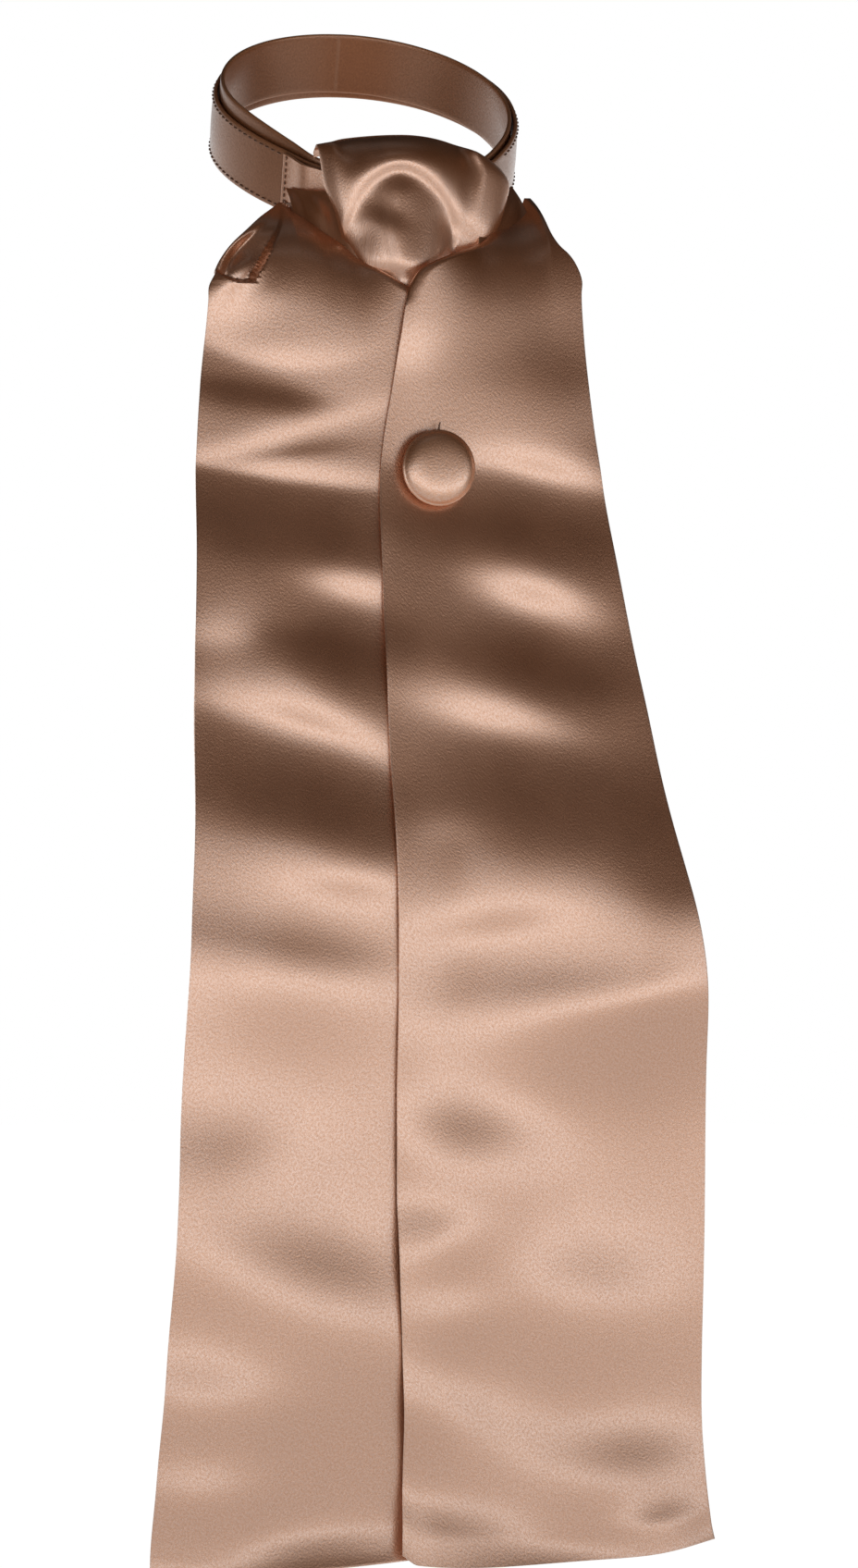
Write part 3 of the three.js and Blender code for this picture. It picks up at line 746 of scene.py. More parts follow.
# The button's mesh has no edge attribute, so three quarters of the painted edge highlight colour lies over
# the whole button.
def button_satin():
    c = colours()
    return satin_material("Button Satin", c.button, c.painted_edge, grain=0.5, along="Object")


# Pieces


def strap_swell(angles, up, seed):
    """How far a turn's face stands out from its loop: a slight crown across it, and slow waves."""
    crown = STRAP_CROWN * np.cos(np.pi * up / STRAP_WIDTH)
    return crown + STRAP_WAVE * soft_noise(angles * STRAP_MM_PER_DEGREE, up, STRAP_WAVE_REACH, seed)


def strap_grid(angles, rise, out, seed):
    """One turn of the strap: rise is 1 where it shows above the other turn, and 0 where it doesn't."""
    ups = np.linspace(0.5, -0.5, 13)[:, None] * STRAP_WIDTH
    angles = angles[None, :]
    lift = rise * read_table(LOOP, "angle", angles, "rise")
    return on_strap(angles, ups + lift, out + strap_swell(angles, ups, seed))


def build_strap():
    ring = np.linspace(-180, 180, STRAP_STEPS, endpoint=False)
    inner_out = -STRAP_WALL - 2 * GAP - INNER_TURN_SLACK
    inner = cloth_piece(
        "strap_inner_turn", strap_grid(ring, 1, inner_out, INNER_TURN_SEED), STRAP_WALL, shaded_strap_satin(),
        ["neck_strap_inner_turn"], closed=True,
    )
    run = np.linspace(-OUTER_END_ANGLE, OUTER_END_ANGLE, STRAP_STEPS)
    round_the_back = np.where(run > 0, run - 180, run + 180)
    outer = cloth_piece(
        "strap_outer_turn", strap_grid(round_the_back, 0, 0, OUTER_TURN_SEED), STRAP_WALL, shaded_strap_satin(),
        ["neck_strap_outer_turn"],
    )


class HoodRow(NamedTuple):
    """The hood's two sides, at a share of the way down from its top to its foot."""

    down: float
    left: float
    right: float


HOOD = [
    HoodRow(0, -30.8, 37.5),
    HoodRow(0.12, -30.2, 40),
    HoodRow(0.28, -29.2, 38.5),
    HoodRow(0.45, -25.8, 35.5),
    HoodRow(0.55, -24.5, 32.5),
    HoodRow(0.75, -20, 24),
    HoodRow(1, -11, 13),
]
HOOD_TOP_Z = -0.6
HOOD_FOOT_Z = -57
HOOD_TOP_FALL_LEFT = 0.0035
HOOD_TOP_FALL_RIGHT = 0.0085
HOOD_ROLL = 3.4
HOOD_LEG_HALF = 19
HOOD_LEG_UP = -14
HOOD_LIP_OUT = 5.8
HOOD_INSIDE_SLACK = 1.6
HOOD_LOOP_RADIUS = 58
HOOD_MIDDLE_X = -4.5
HOOD_ARCH_TOP_Z = -10
HOOD_ARCH_FOOT_Z = -35
HOOD_ARCH_FALL = 0.041
HOOD_CREST_X = -3
HOOD_CREST_DEPTH = 74.2
HOOD_CREST_FALL = 0.0072
HOOD_HOLLOW = 1.6
HOOD_HOLLOW_WIDTH = 2.6
HOOD_HOLLOW_SPREAD = 0.16
HOOD_HOLLOW_LEAN = 0.24
HOOD_SIDE_FULLNESS = 0.7
HOOD_SIDE_REACH = 1 / 12
HOOD_BEHIND_TAILS = 4.8
HOOD_FREE_TOP_Z = -38
HOOD_FREE_FOOT_Z = -54
HOOD_FREE_ROOM = 12
HOOD_FOLDS = [
    Lean(-4.6, -17, 0, 0, 6, 6, 2.5, 3, 0.25, 12),
    Lean(-10, -29, -20, 0, 6, 7, 3, 4, 0.3, 12),
    Lean(-21, -35, 20, 0, 7, 7, 4, 3, -0.2, 12),
    Lean(21, -33, -25, 0, 9, 9, 4, 4, -0.25, 12),
]


def hood_crest_z(x):
    return np.maximum(HOOD_ARCH_TOP_Z - HOOD_ARCH_FALL * (x - HOOD_MIDDLE_X) ** 2, HOOD_ARCH_FOOT_Z)


def hood_depth(x, z, full, crest_z, ridge_depth, across):
    """The hood's depth: its shoulder, then under the arched crest a hollow that leans out to the foot.

    Near its foot the hood stays behind the tails' upper edges.
    """
    crest = HOOD_CREST_DEPTH - HOOD_CREST_FALL * (x - HOOD_CREST_X) ** 2
    in_from_edge = np.clip(np.minimum(across, 1 - across) / HOOD_SIDE_REACH, 0, 1)
    curl = lerp(HOOD_SIDE_FULLNESS, 1, np.sqrt(1 - (1 - in_from_edge) ** 2))
    puffed = ridge_depth + (crest - ridge_depth) * curl * full
    below = np.maximum(crest_z - z, 0)
    width = HOOD_HOLLOW_WIDTH + HOOD_HOLLOW_SPREAD * np.abs(x - HOOD_MIDDLE_X)
    hollow = puffed - HOOD_HOLLOW * (1 - np.exp(-((below / width) ** 2)))
    leaning = hollow + HOOD_HOLLOW_LEAN * np.maximum(below - width, 0)
    folds = sum(fold_depth(row, x, z) for row in HOOD_FOLDS)
    behind = lerp(TAIL_WALL + 2 * GAP, HOOD_BEHIND_TAILS, smoothstep(z, HOOD_FOOT_Z, HOOD_FOOT_Z + 10))
    free = HOOD_FREE_ROOM * smoothstep(z, HOOD_FREE_FOOT_Z, HOOD_FREE_TOP_Z)
    return soft_min(leaning + folds, plain_depth(x, z) - behind + free, 3)


def hood_grid():
    """The hood from its hidden leg inside the strap, over the rolled top edge, and down its front."""
    across = edge_spaced(72)[None, :]
    top_x = lerp(HOOD[0].left, HOOD[0].right, across)
    top_z = HOOD_TOP_Z - np.where(top_x < 0, HOOD_TOP_FALL_LEFT, HOOD_TOP_FALL_RIGHT) * top_x**2
    aside = np.abs(top_x) - HOOD_LEG_HALF
    inside = -2 * STRAP_WALL - 3 * GAP - HOOD_WALL - HOOD_INSIDE_SLACK
    out = lerp(inside, HOOD_LIP_OUT, smoothstep(aside, 0, 8))
    angle = np.degrees(np.arcsin(top_x / (HOOD_LOOP_RADIUS + np.maximum(out, 0))))
    lip_up = (top_z - HOOD_ROLL - on_strap(angle, 0, out)[..., 2]) / math.cos(STRAP_LEAN)
    leg_up = lerp(HOOD_LEG_UP, lip_up - 1, smoothstep(aside, -10, -3))
    ridge_depth = -on_strap(angle, lip_up, out)[..., 1] + HOOD_ROLL
    rows = []
    for share in np.linspace(0, 1, 14, endpoint=False):
        rows.append(on_strap(angle, lerp(leg_up, lip_up, share), out))
    for share in np.linspace(0, 1, 8, endpoint=False):
        turn = share * np.pi / 2
        y = HOOD_ROLL * math.cos(turn) - ridge_depth
        rows.append(np.stack([top_x, y, top_z - HOOD_ROLL * (1 - math.sin(turn))], -1))
    crest_z = hood_crest_z(top_x * 0.9)
    shoulder = [(math.cos(turn), math.sin(turn)) for turn in np.linspace(0, np.pi / 2, 24)]
    levels = [(lerp(crest_z, top_z, up), full) for up, full in shoulder]
    levels += [(lerp(crest_z, HOOD_FOOT_Z, share), 1) for share in np.linspace(0, 1, 34)[1:]]
    for z, full in levels:
        down = (top_z - z) / (top_z - HOOD_FOOT_Z)
        x = lerp(read_table(HOOD, "down", down, "left"), read_table(HOOD, "down", down, "right"), across)
        rows.append(np.stack([x, -hood_depth(x, z, full, crest_z, ridge_depth, across), z], -1))
    return np.concatenate(rows, 0)


def build_hood():
    hood = cloth_piece("knot_hood", hood_grid(), HOOD_WALL, main_satin(), ["knot_puff"])


class BandRow(NamedTuple):
    """How far the cloth stands out from the strap at its two ends, at a height up the strap's face."""

    up: float
    left_out: float
    right_out: float


class Foot(NamedTuple):
    """Where a piece of cloth starts on the strap and ends behind a tail's upper edge, end for end."""

    from_angle: float
    to_angle: float
    from_up: float
    to_up: float
    from_out: float
    to_out: float
    from_x: float
    to_x: float
    below_edge: float
    ridges: float
    ridge: float


# The cloth sewn round the strap's left end lies flat at its seam and swells towards the knot.
LEFT_BAND = [
    BandRow(11.3, 1.7, 2.6), BandRow(6, 1.7, 3.4), BandRow(0, 1.7, 3.8), BandRow(-5, 1.7, 4),
    BandRow(-11.4, 1.7, 4),
]
BAND_FOLD = 1.0
BAND_FOLD_PLACE = 0.42
BAND_FOLD_WIDTH = 0.18
FOOT_SWELL = 1.4
FOOT_SWELL_FORWARD = 0.6
FOOT_SWELL_UP = 0.8
FOOT_BEHIND = 1
KNOT_TUCK = Foot(-41, -19, 0, 8, 3.2, 8, -38, -17, 3, 1.8, 1.2)
RIGHT_FOOT = Foot(27, 49, 3, -1, 5, 3.5, 25, 49, 3, 1.4, 0.7)


def band_grid(profile, angles, size=(30, 36)):
    """A band of cloth on the strap: a profile swept between two angles, with a soft fold down it."""
    rows = np.linspace(0, len(profile) - 1, size[0])[:, None]
    steps = np.arange(len(profile))
    across = np.linspace(0, 1, size[1])[None, :]
    up = np.interp(rows, steps, [row.up for row in profile])
    left_out = np.interp(rows, steps, [row.left_out for row in profile])
    right_out = np.interp(rows, steps, [row.right_out for row in profile])
    swollen = lerp(left_out, right_out, smoothstep(across, 0.1, 1))
    folded = BAND_FOLD * np.exp(-(((across - BAND_FOLD_PLACE) / BAND_FOLD_WIDTH) ** 2))
    return on_strap(lerp(angles[0], angles[1], across), up, swollen + folded)


def foot_grid(foot, size=(34, 40)):
    """A piece of cloth from the strap to behind a tail's upper edge, with soft ridges down it."""
    down = np.linspace(0, 1, size[0])[:, None]
    across = np.linspace(0, 1, size[1])[None, :]
    angle = lerp(foot.from_angle, foot.to_angle, across)
    up = lerp(foot.from_up, foot.to_up, across)
    out = lerp(foot.from_out, foot.to_out, across)
    top = on_strap(angle, up, out)
    x = lerp(foot.from_x, foot.to_x, across)
    z = read_table(V_EDGE, "x", x, "z") - foot.below_edge
    low = np.stack([x, TAIL_WALL + 2 * GAP + FOOT_BEHIND - plain_depth(x, z), z], -1)
    grid = lerp(top, low, down[..., None])
    waves = np.cos(2 * np.pi * foot.ridges * (across + 0.2 * down))
    swell = np.sin(np.pi * down) ** 1.5 * (FOOT_SWELL + foot.ridge * waves * smoothstep(across, 0, 0.3))
    grid[..., 1] -= FOOT_SWELL_FORWARD * swell
    grid[..., 2] += FOOT_SWELL_UP * swell
    return grid


def build_wraps():
    left_grid = band_grid(LEFT_BAND, (-44, -21))
    left = cloth_piece(
        "left_strap_end", left_grid, WRAP_WALL, shaded_satin(), ["left_wrap"],
    )
    tuck = cloth_piece(
        "knot_tuck_fold", foot_grid(KNOT_TUCK), WRAP_WALL, shaded_satin(), ["knot_tuck"],
    )
    right = cloth_piece(
        "right_strap_end", foot_grid(RIGHT_FOOT), WRAP_WALL, main_satin(), ["right_wrap"],
    )


def build_tails():
    left_grid = tail_grid(LEFT_TAIL, LEFT_HEM, under_depth, "right")
    right_grid = tail_grid(RIGHT_TAIL, RIGHT_HEM, upper_depth, "left")
    left = cloth_piece("under_tail", left_grid, TAIL_WALL, tail_satin(), ["left_tail"])
    right = cloth_piece("upper_tail", right_grid, TAIL_WALL, tail_satin(), ["right_tail"])


BUTTON_X = 4.8
BUTTON_Z = -117
SHANK_LENGTH = 2.4
BUTTON_DROOP = 0.85


class ButtonStep(NamedTuple):
    """One step of the button's face: how far in from the last ring, and how far up."""

    inward: float
    up: float


# From the gathered back, out over the rolled rim, and in over the padded face.
BUTTON_STEPS = [
    ButtonStep(-1.6, 0.5), ButtonStep(-0.5, 0.8), ButtonStep(0.15, 0.55), ButtonStep(0.5, 0.15),
    ButtonStep(0.3, 0.5), ButtonStep(0.6, 0.75), ButtonStep(1.0, 0.8), ButtonStep(1.6, 0.6),
    ButtonStep(2.2, 0.42), ButtonStep(2.4, 0.22), ButtonStep(2.2, 0.09), ButtonStep(1.6, 0.03),
]
BUTTON_BACK_IN = 2.1
BUTTON_BACK_WALL = 0.3


def button_place():
    """Where the button sits on the upper tail, and the way that its face looks."""
    def here(dx, dz):
        x, z = BUTTON_X + dx, BUTTON_Z + dz
        return Vector((x, -float(upper_depth(np.array(x), np.array(z))), z))

    across = here(6, 0) - here(-6, 0)
    upward = here(0, 6) - here(0, -6)
    outward = across.cross(upward).normalized()
    outward.z *= BUTTON_DROOP
    return here(0, 0), outward.normalized()


def face_middle(piece):
    """The middle of the selected faces of a piece in edit mode, in the scene."""
    piece.update_from_editmode()
    points = [piece.matrix_world @ face.center for face in piece.data.polygons if face.select]
    return sum(points, Vector()) / len(points)


def place_in_mesh(piece):
    """Puts a piece's place, turn and size into its mesh."""
    select_only(piece)
    bpy.ops.object.transform_apply(location=True, rotation=True, scale=True)


def build_button():
    radius = sizes().button_radius / MM
    centre, outward = button_place()
    base = centre + outward * (2 * GAP + SHANK_LENGTH)
    turn = outward.to_track_quat("Z", "Y").to_euler()
    bpy.ops.object.select_all(action="DESELECT")
    bpy.ops.mesh.primitive_circle_add(
        vertices=64, radius=(radius - BUTTON_BACK_IN) * MM, fill_type="NGON",
        location=base * MM, rotation=turn,
    )
    button = bpy.context.object
    button.name = "satin_button"
    bpy.ops.object.mode_set(mode="EDIT")
    bpy.ops.mesh.select_all(action="SELECT")
    bpy.ops.mesh.extrude_region_move(TRANSFORM_OT_translate={"value": outward * BUTTON_BACK_WALL * MM})
    ring = radius - BUTTON_BACK_IN
    for step in BUTTON_STEPS:
        share = (ring - step.inward) / ring
        ring -= step.inward
        bpy.ops.mesh.extrude_region_move(TRANSFORM_OT_translate={"value": outward * step.up * MM})
        bpy.ops.transform.resize(value=(share, share, share), center_override=face_middle(button))
    bpy.ops.mesh.inset(thickness=ring * 0.5 * MM)
    bpy.ops.mesh.select_all(action="SELECT")
    bpy.ops.mesh.normals_make_consistent(inside=False)
    bpy.ops.object.mode_set(mode="OBJECT")
    smooth = button.modifiers.new("smooth", "SUBSURF")
    smooth.levels = smooth.render_levels = 1
    apply_modifiers(button)
    place_in_mesh(button)
    bpy.ops.object.shade_smooth()
    button.data.materials.append(button_satin())
    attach(button, "root")
    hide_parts("covered_button")
    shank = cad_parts["button_shank"]
    shank.data.materials.clear()
    shank.data.materials.append(thread_material())


def thread_material():
    """Twisted thread: a fine slanting pattern of darker turns."""
    name = "Sewing Thread"
    if name in bpy.data.materials:
        return bpy.data.materials[name]
    material, tree, shader = new_material(name)
    place = tree.nodes.new("ShaderNodeTexCoord")
    turns = tree.nodes.new("ShaderNodeTexWave")
    turns.wave_type = "BANDS"
    turns.bands_direction = "DIAGONAL"
    turns.inputs["Scale"].default_value = 900
    turns.inputs["Distortion"].default_value = 1.5
    tree.links.new(place.outputs["Object"], turns.inputs["Vector"])
    shade = tree.nodes.new("ShaderNodeMix")
    shade.data_type = "RGBA"
    colour = colours().thread
    shade.inputs["A"].default_value = (*[0.6 * part for part in colour], 1)
    shade.inputs["B"].default_value = (*colour, 1)
    tree.links.new(turns.outputs["Fac"], shade.inputs["Factor"])
    tree.links.new(shade.outputs["Result"], shader.inputs["Base Color"])
    bump = tree.nodes.new("ShaderNodeBump")
    bump.inputs["Distance"].default_value = 0.0001
    tree.links.new(turns.outputs["Fac"], bump.inputs["Height"])
    tree.links.new(bump.outputs["Normal"], shader.inputs["Normal"])
    shader.inputs["Roughness"].default_value = 0.55
    return material


# Stitching

STITCH_SIDES = 6
STITCH_FROM_EDGE = 1.7
STITCH_LOOP_RADIUS = 56
# A stitch rises out of the cloth and goes back into it, thinner at its ends.
STITCH_ARCH = 0.3 * np.array([-0.15, 0.8, 1, 0.8, -0.15])
STITCH_TAPER = np.array([0.5, 1, 1, 1, 0.5])
STITCHED_TO_BACK = 178
STITCHED_FROM_KNOT = 48
JOIN_ANGLE = -43
JOIN_SEAM_ASIDE = 0.8
JOIN_LOW = -8.5
JOIN_HIGH = 10.5
JOIN_SPACING = 2.3
JOIN_STITCH = 1.5


def thread_tube(path, radii):
    """Points and faces of a thread along a path, closed at both ends."""
    path = np.asarray(path, float)
    radii = np.asarray(radii, float)
    along = np.gradient(path, axis=0)
    along /= np.linalg.norm(along, axis=1)[:, None]
    up = np.array([0.3, 0.2, 0.93])
    side = np.cross(along, up)
    side /= np.linalg.norm(side, axis=1)[:, None]
    other = np.cross(along, side)
    turns = np.linspace(0, 2 * np.pi, STITCH_SIDES, endpoint=False)
    rings = [
        path + radii[:, None] * (math.cos(turn) * side + math.sin(turn) * other) for turn in turns
    ]
    points = np.stack(rings, 1).reshape(-1, 3)
    faces = []
    for i in range(len(path) - 1):
        for j in range(STITCH_SIDES):
            k = (j + 1) % STITCH_SIDES
            low, high = i * STITCH_SIDES, (i + 1) * STITCH_SIDES
            faces.append((low + j, high + j, high + k, low + k))
    last = (len(path) - 1) * STITCH_SIDES
    faces.append(tuple(range(STITCH_SIDES)))
    faces.append(tuple(last + j for j in reversed(range(STITCH_SIDES))))
    return points, faces


def add_threads(name, threads):
    """One object from many short threads, each a path with a radius at each point."""
    points, faces, start = [], [], 0
    for path, radii in threads:
        some_points, some_faces = thread_tube(path, radii)
        points.append(some_points)
        faces += [tuple(start + i for i in face) for face in some_faces]
        start += len(some_points)
    piece = mesh_object(name, np.concatenate(points), faces)
    piece.data.materials.append(thread_material())
    select_only(piece)
    bpy.ops.object.mode_set(mode="EDIT")
    bpy.ops.mesh.select_all(action="SELECT")
    bpy.ops.mesh.normals_make_consistent(inside=False)
    bpy.ops.object.mode_set(mode="OBJECT")
    bpy.ops.object.shade_smooth()
    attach(piece, "root")
    return piece


def stitch(points):
    return points, sizes().thread_radius / MM * STITCH_TAPER


def strap_stitches():
    """Two rows of stitches along the outer turn, from the join and from the knot round to the back."""
    half = math.degrees(sizes().stitch_length / MM / 2 / STITCH_LOOP_RADIUS)
    spacing = math.degrees(sizes().stitch_spacing / MM / STITCH_LOOP_RADIUS)
    edge = STRAP_WIDTH / 2 - STITCH_FROM_EDGE
    stitches = []
    for up in (edge, -edge):
        for first, last in ((-STITCHED_TO_BACK, JOIN_ANGLE - 1), (STITCHED_FROM_KNOT, STITCHED_TO_BACK)):
            for middle in np.arange(first + half, last - half, spacing):
                angles = middle + half * np.linspace(-1, 1, 5)
                out = strap_swell(angles, up, OUTER_TURN_SEED) + STITCH_ARCH
                stitches.append(stitch(on_strap(angles, up, out)))
    return stitches


def join_stitches():
    """The short row of stitches up the strap where the tail's cloth is sewn to it."""
    profile = LEFT_BAND[::-1]
    stitches = []
    for middle in np.arange(JOIN_LOW, JOIN_HIGH, JOIN_SPACING):
        ups = middle + JOIN_STITCH / 2 * np.linspace(-1, 1, 5)
        out = np.interp(ups, [row.up for row in profile], [row.left_out for row in profile]) + STITCH_ARCH
        stitches.append(stitch(on_strap(JOIN_ANGLE + JOIN_SEAM_ASIDE + 0 * ups, ups, out)))
    return stitches


def build_stitching():
    add_threads("strap_stitching", strap_stitches() + join_stitches())


THREAD_END_LENGTH = 4.2
THREAD_END_RADIUS = 0.5


def build_thread_end():
    """The end of thread that stands up from behind the button's top."""
    centre, outward = button_place()
    top = centre + outward * 1.6 + Vector((0.8, 0, sizes().button_radius / MM - 1.5))
    steps = np.linspace(0, 1, 7)
    path = [np.array(top) + np.array([0.5 * t * t, -0.6 * t, THREAD_END_LENGTH * t]) for t in steps]
    add_threads("button_thread_end", [(path, THREAD_END_RADIUS * (1 - 0.5 * steps))])


# Stage

FLOOR_Z = -0.66
FLOOR_RADIUS = 1.5
FLOOR_GLOW = 1.0
FLOOR_GLOW_IN_GLOSS = 0.6
STUDIO_STRENGTH = 2.0


class Stop(NamedTuple):
    place: float
    light: float


# The studio's light by height, from straight down (0) to straight up (1).
LIGHT_BY_HEIGHT = [
    Stop(0, 0.36), Stop(0.36, 0.5), Stop(0.42, 0.84), Stop(0.455, 0.84), Stop(0.54, 0.34), Stop(0.595, 0.15),
    Stop(0.655, 0.01), Stop(0.88, 0.01), Stop(0.95, 0.09), Stop(1, 0.13),
]
# And by place round the object, from behind it (0) to in front of it (1).
LIGHT_AROUND = [
    Stop(0, 0.8), Stop(0.3, 0.4), Stop(0.5, 0.08), Stop(0.62, 0.14), Stop(0.82, 1), Stop(1, 1),
]


class Camera(NamedTuple):
    """Where the camera stands, in millimetres, and how it looks."""

    x: float = -425.9
    y: float = -1807.4
    z: float = -1.7
    azimuth: float = -14
    elevation: float = 7.3
    lens: float = 115.8


CAMERA = Camera()


def add_camera():
    data = bpy.data.cameras.new("camera")
    data.lens = CAMERA.lens
    data.sensor_width = 36
    data.clip_start = 0.05
    data.clip_end = 60
    camera = bpy.data.objects.new("camera", data)
    azimuth, elevation = math.radians(CAMERA.azimuth), math.radians(CAMERA.elevation)
    back = Vector((
        math.sin(azimuth) * math.cos(elevation),
        -math.cos(azimuth) * math.cos(elevation),
        math.sin(elevation),
    ))
    camera.location = Vector((CAMERA.x, CAMERA.y, CAMERA.z)) * MM
    camera.rotation_mode = "QUATERNION"
    camera.rotation_quaternion = back.to_track_quat("Z", "Y")
    bpy.context.scene.collection.objects.link(camera)
    bpy.context.scene.camera = camera


def add_floor():
    """A white disc under the object, which the satin's gloss sees as a darker floor."""
    bpy.ops.object.select_all(action="DESELECT")
    bpy.ops.mesh.primitive_circle_add(
        vertices=96, radius=FLOOR_RADIUS, fill_type="NGON", location=(0, 0, FLOOR_Z),
    )
    floor = bpy.context.object
    floor.name = "floor"
    material, tree, shader = new_material("Pale Floor")
    shader.inputs["Base Color"].default_value = (0.3, 0.3, 0.3, 1)
    shader.inputs["Roughness"].default_value = 0.9
    shader.inputs["Emission Color"].default_value = (1, 1, 1, 1)
    path = tree.nodes.new("ShaderNodeLightPath")
    glow = tree.nodes.new("ShaderNodeMapRange")
    glow.inputs["To Min"].default_value = FLOOR_GLOW_IN_GLOSS
    glow.inputs["To Max"].default_value = FLOOR_GLOW
    tree.links.new(path.outputs["Is Camera Ray"], glow.inputs["Value"])
    tree.links.new(glow.outputs["Result"], shader.inputs["Emission Strength"])
    floor.data.materials.append(material)


def add_world():
    """A bright band round the horizon, brightest in front, under a dark ceiling: soft studio light."""
    world = bpy.data.worlds.new("studio")
    bpy.context.scene.world = world
    world.use_nodes = True
    tree = world.node_tree
    tree.nodes.clear()
    nodes, links = tree.nodes, tree.links
    place = nodes.new("ShaderNodeTexCoord")
    split = nodes.new("ShaderNodeSeparateXYZ")
    links.new(place.outputs["Generated"], split.inputs["Vector"])

    def ramp(source, low, high, stops):
        scaled = nodes.new("ShaderNodeMapRange")
        links.new(source, scaled.inputs["Value"])
        for socket, number in zip(list(scaled.inputs)[1:5], (low, high, 0, 1)):
            socket.default_value = number
        made = nodes.new("ShaderNodeValToRGB")
        made.color_ramp.interpolation = "EASE"
        elements = made.color_ramp.elements
        while len(elements) > 1:
            elements.remove(elements[-1])
        for i, stop in enumerate(stops):
            element = elements[0] if i == 0 else elements.new(stop.place)
            element.position = stop.place
            element.color = (stop.light, stop.light, stop.light, 1)
        links.new(scaled.outputs["Result"], made.inputs["Fac"])
        return made.outputs["Color"]

    height = ramp(split.outputs["Z"], -1, 1, LIGHT_BY_HEIGHT)
    around = ramp(split.outputs["Y"], 1, -1, LIGHT_AROUND)
    both = nodes.new("ShaderNodeMix")
    both.data_type = "RGBA"
    both.blend_type = "MULTIPLY"
    both.inputs["Factor"].default_value = 1
    links.new(height, both.inputs["A"])
    links.new(around, both.inputs["B"])
    light = nodes.new("ShaderNodeBackground")
    light.inputs["Strength"].default_value = STUDIO_STRENGTH
    links.new(both.outputs["Result"], light.inputs["Color"])
    plain = nodes.new("ShaderNodeBackground")
    plain.inputs["Color"].default_value = (1, 1, 1, 1)
    path = nodes.new("ShaderNodeLightPath")
    choose = nodes.new("ShaderNodeMixShader")
    links.new(path.outputs["Is Camera Ray"], choose.inputs["Fac"])
    links.new(light.outputs[0], choose.inputs[1])
    links.new(plain.outputs[0], choose.inputs[2])
    output = nodes.new("ShaderNodeOutputWorld")
    links.new(choose.outputs[0], output.inputs["Surface"])


def add_lights():
    front = bpy.data.lights.new("front softbox", "AREA")
    front.shape = "RECTANGLE"
    front.size, front.size_y = 1.6, 0.8
    front.energy = 2
    lamp = bpy.data.objects.new("front softbox", front)
    lamp.location = (-0.5, -2.6, 0.25)
    lamp.rotation_mode = "QUATERNION"
    lamp.rotation_quaternion = Vector((-0.5, -2.6, 0.45)).to_track_quat("Z", "Y")
    bpy.context.scene.collection.objects.link(lamp)


# Add-on


class CravatSizes(bpy.types.PropertyGroup):
    button_radius: bpy.props.FloatProperty(
        name="Button Radius", description="Radius of the covered button",
        default=0.0135, min=0.008, max=0.02, unit="LENGTH",
    )
    stitch_length: bpy.props.FloatProperty(
        name="Stitch Length", description="Length of each stitch along the strap",
        default=0.002, min=0.001, max=0.004, unit="LENGTH",
    )
    stitch_spacing: bpy.props.FloatProperty(
        name="Stitch Spacing", description="Distance from one stitch to the next along the strap",
        default=0.0031, min=0.002, max=0.006, unit="LENGTH",
    )
    thread_radius: bpy.props.FloatProperty(
        name="Thread Radius", description="Radius of the sewing thread",
        default=0.00026, min=0.0001, max=0.0005, unit="LENGTH",
    )


class CravatColours(bpy.types.PropertyGroup):
    satin: bpy.props.FloatVectorProperty(
        name="Satin", description="Colour of the knot and tails",
        subtype="COLOR", default=(0.35, 0.112, 0.036), min=0, max=1,
    )
    # Darker than the satin: painted shade on the strap.
    strap: bpy.props.FloatVectorProperty(
        name="Strap", description="Colour of the strap",
        subtype="COLOR", default=(0.22, 0.08, 0.03), min=0, max=1,
    )
    button: bpy.props.FloatVectorProperty(
        name="Button", description="Colour of the covered button",
        subtype="COLOR", default=(0.4, 0.15, 0.06), min=0, max=1,
    )
    # Painted highlight: the paler colour of folded edges, standing in for the light that they catch.
    painted_edge: bpy.props.FloatVectorProperty(
        name="Rim", description="Colour along folded edges",
        subtype="COLOR", default=(0.46, 0.19, 0.085), min=0, max=1,
    )
    seam: bpy.props.FloatVectorProperty(
        name="Seam", description="Colour in the shade of the tails' edges",
        subtype="COLOR", default=(0.1, 0.035, 0.013), min=0, max=1,
    )
    thread: bpy.props.FloatVectorProperty(
        name="Thread", description="Colour of the sewing thread",
        subtype="COLOR", default=(0.25, 0.13, 0.08), min=0, max=1,
    )


class CRAVAT_OT_strap(bpy.types.Operator):
    """Builds both turns of the neck strap"""

    bl_idname = "cravat.strap"
    bl_label = "Strap"

    def execute(self, context):
        build_strap()
        return {"FINISHED"}


class CRAVAT_OT_stitching(bpy.types.Operator):
    """Sews the stitches along the strap's edges and at its join"""

    bl_idname = "cravat.stitching"
    bl_label = "Stitching"

    def execute(self, context):
        build_stitching()
        return {"FINISHED"}


class CRAVAT_OT_knot(bpy.types.Operator):
    """Builds the puffed hood of the knot"""

    bl_idname = "cravat.knot"
    bl_label = "Knot"

    def execute(self, context):
        build_hood()
        return {"FINISHED"}


class CRAVAT_OT_wraps(bpy.types.Operator):
    """Builds the tail cloth at the strap's ends and the tuck beside the knot"""

    bl_idname = "cravat.wraps"
    bl_label = "Strap Ends"

    def execute(self, context):
        build_wraps()
        return {"FINISHED"}


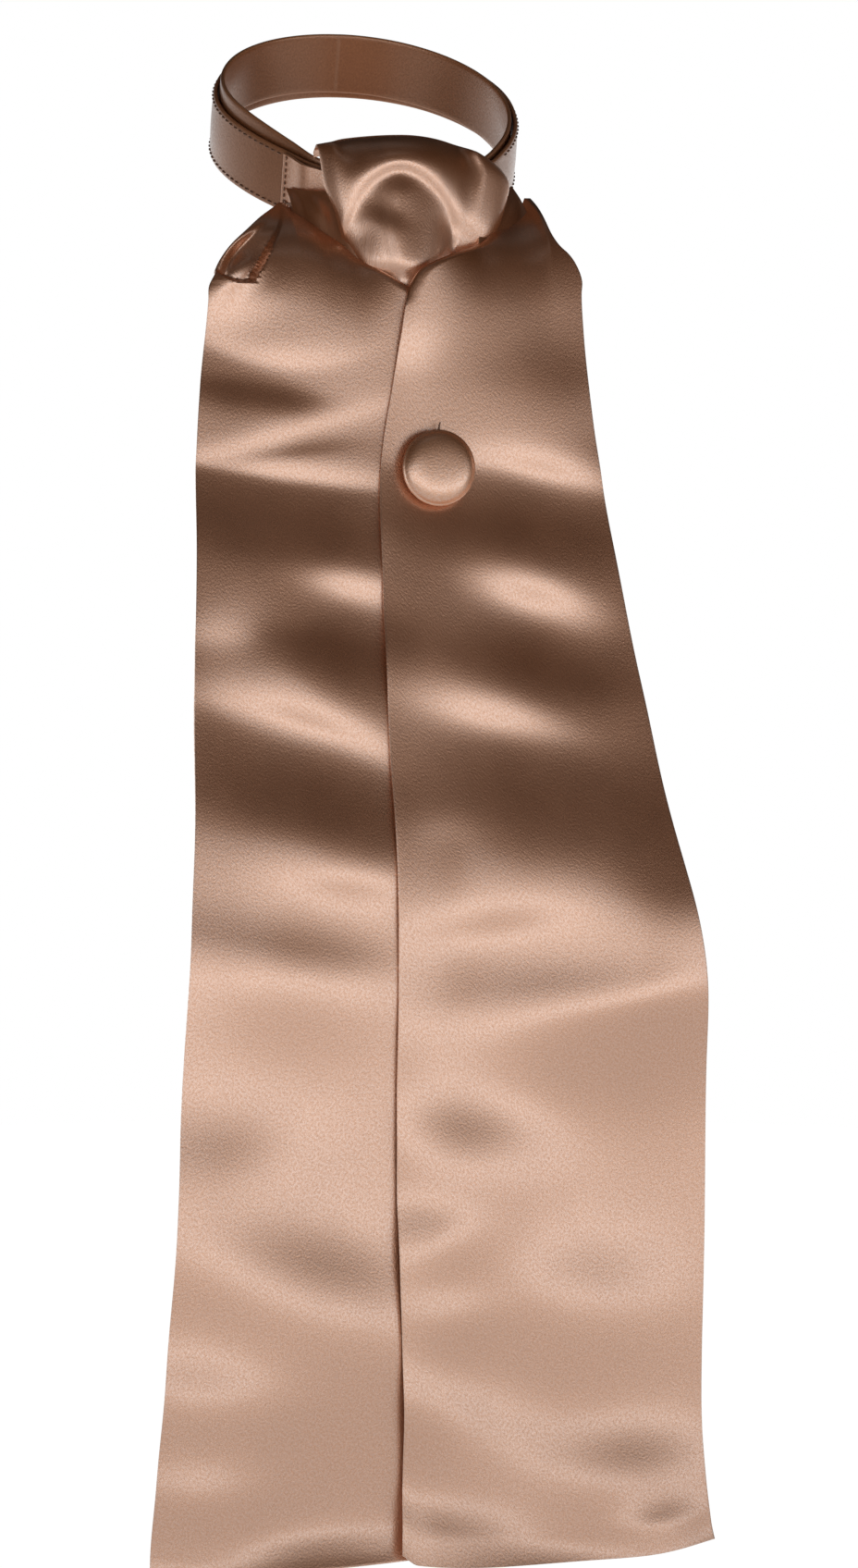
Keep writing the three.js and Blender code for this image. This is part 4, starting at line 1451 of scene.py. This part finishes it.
class CRAVAT_OT_tails(bpy.types.Operator):
    """Builds the two tails"""

    bl_idname = "cravat.tails"
    bl_label = "Tails"

    def execute(self, context):
        build_tails()
        return {"FINISHED"}


class CRAVAT_OT_button(bpy.types.Operator):
    """Builds the covered button and finishes its shank"""

    bl_idname = "cravat.button"
    bl_label = "Button"

    def execute(self, context):
        build_button()
        build_thread_end()
        return {"FINISHED"}


class CRAVAT_OT_stage(bpy.types.Operator):
    """Adds the floor, the light and the camera"""

    bl_idname = "cravat.stage"
    bl_label = "Stage"

    def execute(self, context):
        add_floor()
        add_world()
        add_lights()
        add_camera()
        context.scene.view_settings.view_transform = "Standard"
        return {"FINISHED"}


OPERATORS = (
    CRAVAT_OT_stage, CRAVAT_OT_strap, CRAVAT_OT_stitching, CRAVAT_OT_knot, CRAVAT_OT_wraps,
    CRAVAT_OT_tails, CRAVAT_OT_button,
)


class CRAVAT_PT_panel(bpy.types.Panel):
    """Lists the operators that build the cravat"""

    bl_label = "Cravat"
    bl_idname = "CRAVAT_PT_panel"
    bl_space_type = "VIEW_3D"
    bl_region_type = "UI"
    bl_category = "Cravat"

    def draw(self, context):
        box = self.layout.box()
        for name in CravatSizes.__annotations__:
            box.prop(context.scene.cravat_sizes, name)
        for name in CravatColours.__annotations__:
            box.prop(context.scene.cravat_colours, name)
        for operator in OPERATORS:
            self.layout.operator(operator.bl_idname)


CLASSES = (CravatSizes, CravatColours, *OPERATORS, CRAVAT_PT_panel)


def register():
    for cls in CLASSES:
        bpy.utils.register_class(cls)
    bpy.types.Scene.cravat_sizes = bpy.props.PointerProperty(type=CravatSizes)
    bpy.types.Scene.cravat_colours = bpy.props.PointerProperty(type=CravatColours)


def unregister():
    del bpy.types.Scene.cravat_colours
    del bpy.types.Scene.cravat_sizes
    for cls in reversed(CLASSES):
        bpy.utils.unregister_class(cls)


def main():
    register()
    bpy.ops.cravat.stage()
    bpy.ops.cravat.strap()
    bpy.ops.cravat.stitching()
    bpy.ops.cravat.knot()
    bpy.ops.cravat.wraps()
    bpy.ops.cravat.tails()
    bpy.ops.cravat.button()


if __name__ == "__main__":
    main()
